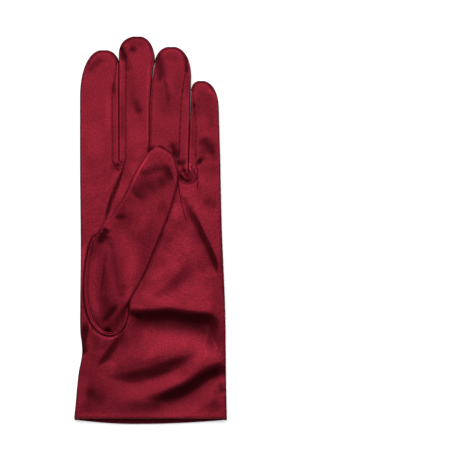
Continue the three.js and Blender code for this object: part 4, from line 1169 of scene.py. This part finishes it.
def hemGrids():
    depth = glove["wall"] + cuffHem["gap"]
    down = 1 - np.linspace(0, 1, cuffHem["rows"] + 1) * cuffHem["depth"] / glove["palmLength"]

    def loop(inset):
        frontHalf = panelGrid(front, down, inset)[0]
        backHalf = panelGrid(back, down, inset)[0][:, ::-1]
        backHalf[:, 0] = frontHalf[:, -1]
        backHalf[:, -1] = frontHalf[:, 0]
        points = np.concatenate([frontHalf, backHalf[:, 1:]], 1)
        for column in (0, frontHalf.shape[1] - 1, points.shape[1] - 1):
            points[:, column, 2] = glove["sideHeight"]
        return points, frontHalf.shape[1]

    points, frontColumns = loop(depth)
    amount = frontAmount(points)
    amount[:, frontColumns:] = 0
    return [{"outer": points, "inner": loop(depth + glove["wall"])[0], "sink": 0, "pinch": 0,
             "amount": amount, "shown": amount, "dark": 0}]


pieces = []
palm = shapedPiece("palm_cloth", panelGrids(front), frontFolds, satinMaterial, "satin", withHole=True)
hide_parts("palm_panel")
backCloth = shapedPiece("back_cloth", panelGrids(back), {}, satinMaterial, "satin")
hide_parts("back_panel")
pieces += [palm, backCloth]
for line in (1, 2, 3):
    name = fingers[line - 1]["name"] + "_" + fingers[line]["name"]
    strip = shapedPiece("side_strip_" + name, fourchetteGrids(line), frontFolds, satinMaterial, "satin")
    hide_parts("fourchette_" + name)
    pieces.append(strip)
hem = shapedPiece("cuff_hem_cloth", hemGrids(), frontFolds, shadedHemMaterial, "hem_satin")
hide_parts("cuff_hem")
pieces.append(hem)


def thumbRidge(fromSeam):
    ridge = thumb["ridge"] * np.exp(-((fromSeam - thumb["ridgeAt"]) / thumb["ridgeWidth"]) ** 2)
    groove = thumb["groove"] * np.exp(-((fromSeam - thumb["grooveAt"]) / thumb["grooveWidth"]) ** 2)
    return groove - ridge


# Painted shade on the thumb's seam at its edge and in its groove, and painted highlight on the ridge
# between them
thumbSeamShading = {"edge": 0.65, "edgeWidth": 0.4, "groove": 0.9, "ridge": 1.0, "ridgeWidth": 0.5}


def thumbSeamDark(fromSeam):
    edge = thumbSeamShading["edge"] * np.exp(-(fromSeam / thumbSeamShading["edgeWidth"]) ** 2)
    groove = thumbSeamShading["groove"] * np.exp(-((fromSeam - thumb["grooveAt"]) / thumb["grooveWidth"]) ** 2)
    ridge = thumbSeamShading["ridge"] * np.exp(-((fromSeam - thumb["ridgeAt"]) / thumbSeamShading["ridgeWidth"]) ** 2)
    return edge + groove - ridge


# The lying part's rounded edges get a painted highlight, over shares of its half width, some rows past its
# base
thumbEdge = {"light": 0.6, "leftWidth": 0.14, "rightWidth": 0.08, "rowsPast": 6}


def thumbEdgeLight():
    across, _ = sectionAt(thumbShape, np.clip(thumbAround, 0, 2))
    rows = np.arange(thumb["baseRows"] + 2 + thumb["rows"])[:, None]
    width = np.where(across < 0, thumbEdge["leftWidth"], thumbEdge["rightWidth"])
    bell = np.exp(-((1 - np.abs(across)) / width) ** 2)
    return thumbEdge["light"] * bell * (rows > thumb["baseRows"] + thumbEdge["rowsPast"])


thumbOuter, thumbAmount, fromSeam = thumbGrids(0)
onTop = thumbAround <= 2
thumbGrid = {"outer": thumbOuter, "inner": thumbGrids(glove["wall"])[0], "pinch": 0,
             "sink": thumbRidge(fromSeam) * onTop, "amount": thumbAmount, "shown": onTop,
             "dark": (thumbSeamDark(fromSeam) - thumbEdgeLight()) * onTop}
thumbCloth = shapedPiece("thumb_cloth", [thumbGrid], thumbFolds, satinMaterial, "satin")
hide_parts("thumb_front", "thumb_back")
pieces.append(thumbCloth)
print("cloth made")

# Stitches, in millimetres. Their sizes vary between two shares, and one row of the thumb's seam lies at
# edgeRow from its edge.
stitch = {
    "pitch": 1.25, "length": 0.6, "thickness": 0.42, "sink": 0.05, "seed": 4,
    "smallest": 0.82, "largest": 1.15, "edgeRow": 0.15, "segments": 8, "rings": 5,
}


def stitchTree(material):
    # Sets a stitch at even steps along each line of the mesh that it is given
    tree = bpy.data.node_groups.new("stitchRow", "GeometryNodeTree")

    def socket(name, way, kind):
        return tree.interface.new_socket(name=name, in_out=way, socket_type=kind).identifier

    socket("Geometry", "OUTPUT", "NodeSocketGeometry")
    socket("Geometry", "INPUT", "NodeSocketGeometry")
    inputs = {key: socket(key, "INPUT", "NodeSocketFloat") for key in ("pitch", "length", "thickness")}
    inputs["seed"] = socket("seed", "INPUT", "NodeSocketInt")
    given = makeNode(tree, "NodeGroupInput", {}).outputs
    curve = makeNode(tree, "GeometryNodeMeshToCurve", {"Mesh": given["Geometry"]})
    steps = makeNode(tree, "GeometryNodeResampleCurve",
                     {"Curve": curve.outputs["Curve"], "Length": given["pitch"]}, mode="LENGTH")
    bead = makeNode(tree, "GeometryNodeMeshUVSphere",
                    {"Segments": stitch["segments"], "Rings": stitch["rings"], "Radius": 0.5})
    size = makeNode(tree, "ShaderNodeCombineXYZ",
                    {"X": given["thickness"], "Y": given["thickness"], "Z": given["length"]})
    scaled = makeNode(tree, "GeometryNodeTransform",
                      {"Geometry": bead.outputs["Mesh"], "Scale": size.outputs["Vector"]})
    tangent = makeNode(tree, "GeometryNodeInputTangent", {})
    turned = makeNode(tree, "FunctionNodeAlignRotationToVector",
                      {"Vector": tangent.outputs["Tangent"]}, axis="Z")
    vary = makeNode(tree, "FunctionNodeRandomValue", {"Seed": given["seed"]}, data_type="FLOAT")
    socketOf(vary.inputs, "VALUE").default_value = stitch["smallest"]
    socketOf(vary.inputs, "VALUE", 1).default_value = stitch["largest"]
    instances = makeNode(tree, "GeometryNodeInstanceOnPoints", {
        "Points": steps.outputs["Curve"], "Instance": scaled.outputs["Geometry"],
        "Rotation": turned.outputs["Rotation"], "Scale": socketOf(vary.outputs, "VALUE")})
    realized = makeNode(tree, "GeometryNodeRealizeInstances", {"Geometry": instances.outputs["Instances"]})
    shaded = makeNode(tree, "GeometryNodeSetShadeSmooth", {"Geometry": realized.outputs["Geometry"]})
    finish = makeNode(tree, "GeometryNodeSetMaterial",
                      {"Geometry": shaded.outputs["Geometry"], "Material": material})
    makeNode(tree, "NodeGroupOutput", {"Geometry": finish.outputs["Geometry"]})
    return tree, inputs


def seamLines():
    # Every sewn line that shows, as rows of points on the cloth
    lines = []
    _, outer, places, _ = palm
    for f in range(len(fingers)):
        ids = places[f + 1]
        if f > 0:
            lines.append(outer[ids[:wingRows, 0]])
        if f < len(fingers) - 1:
            lines.append(outer[ids[:wingRows, -1]])
        path = smoothPath(tipSeamPath(f), 6)
        strip = outer[ids].reshape(-1, 3)
        nearest = [strip[np.argmin(((strip[:, :2] - p) ** 2).sum(1))][2] for p in path]
        lines.append(np.column_stack([path, nearest]))
    _, outer, places, _ = thumbCloth
    ids, half = places[0], thumb["columns"] // 2
    distance = fromSeam[:thumb["baseRows"] + 2]
    for wanted in (stitch["edgeRow"], thumb["grooveAt"]):
        row = [outer[ids[np.argmin(np.abs(distance[:, column] - wanted)), column]]
               for column in range(half + 1)]
        lines.append(np.array(row)[2:-2])
    return lines


def makeStitches():
    tree, inputs = stitchTree(threadMaterial)
    points, edges = [], []
    for line in seamLines():
        start = len(points)
        points += [(x * millimetre, y * millimetre, (z - stitch["sink"]) * millimetre)
                   for x, y, z in line]
        edges += [(i, i + 1) for i in range(start, len(points) - 1)]
    data = bpy.data.meshes.new("seamLines")
    data.from_pydata(points, edges, [])
    source = addObject("seamLines", data)
    modifier = source.modifiers.new("stitchRow", "NODES")
    modifier.node_group = tree
    for key in ("pitch", "length", "thickness"):
        modifier[inputs[key]] = stitch[key] * millimetre
    modifier[inputs["seed"]] = stitch["seed"]
    bpy.context.view_layer.update()
    evaluated = source.evaluated_get(bpy.context.evaluated_depsgraph_get())
    made = bpy.data.meshes.new_from_object(evaluated)
    piece = addObject("seam_stitches", made)
    bpy.data.objects.remove(source)
    print(f"seam_stitches: {len(made.polygons)} faces")
    return piece


stitches = makeStitches()
pieces.append((stitches, None, None, "satin"))

for piece, _, _, slotName in pieces:
    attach(piece, "root")
print("pieces ride on their body")

# Floor, light and camera. The sun is a wide soft light, and its lean is towards the fingertips. The
# camera's height and the floor's half size are in metres, and its place, view and focus in millimetres.
studio = {
    "floor": 0.9, "floorGlow": 0.3, "floorHalf": 3, "floorRoughness": 0.9, "floorSpecular": 0.1,
    "sun": 3.0, "sunWidth": 34, "sunLean": 20, "sunAside": -1.5, "world": 0.28,
    "cameraHeight": 1.2, "cameraAside": 47.7, "view": 276, "level": 4, "sensor": 36,
}


def makeStudio():
    data = bpy.data.meshes.new("floor")
    half = studio["floorHalf"]
    data.from_pydata([(-half, -half, 0), (half, -half, 0), (half, half, 0), (-half, half, 0)], [],
                     [(0, 1, 2, 3)])
    floor = addObject("floor", data)
    paper = bpy.data.materials.new("floorPaper")
    paper.use_nodes = True
    setInputs(paper.node_tree, paper.node_tree.nodes["Principled BSDF"], {
        "Base Color": (studio["floor"],) * 3 + (1,), "Emission Color": (1, 1, 1, 1),
        "Emission Strength": studio["floorGlow"], "Roughness": studio["floorRoughness"],
        "Specular IOR Level": studio["floorSpecular"],
    })
    data.materials.append(paper)

    sun = bpy.data.lights.new("softLight", "SUN")
    sun.energy = studio["sun"]
    sun.angle = math.radians(studio["sunWidth"])
    light = addObject("softLight", sun)
    light.rotation_euler = (-math.radians(studio["sunLean"]), math.radians(studio["sunAside"]), 0)

    world = bpy.data.worlds.new("studio")
    world.use_nodes = True
    setInputs(world.node_tree, world.node_tree.nodes["Background"],
              {"Color": (1, 1, 1, 1), "Strength": studio["world"]})
    bpy.context.scene.world = world

    camera = bpy.data.cameras.new("camera")
    camera.sensor_width = studio["sensor"]
    camera.lens = studio["sensor"] * studio["cameraHeight"] / (studio["view"] * millimetre)
    eye = addObject("camera", camera)
    eye.location = (studio["cameraAside"] * millimetre, 0,
                    studio["cameraHeight"] + studio["level"] * millimetre)
    bpy.context.scene.camera = eye
    bpy.context.scene.view_settings.view_transform = "Standard"
    bpy.context.scene.view_settings.look = "None"


makeStudio()
print("studio made")

bpy.context.view_layer.update()
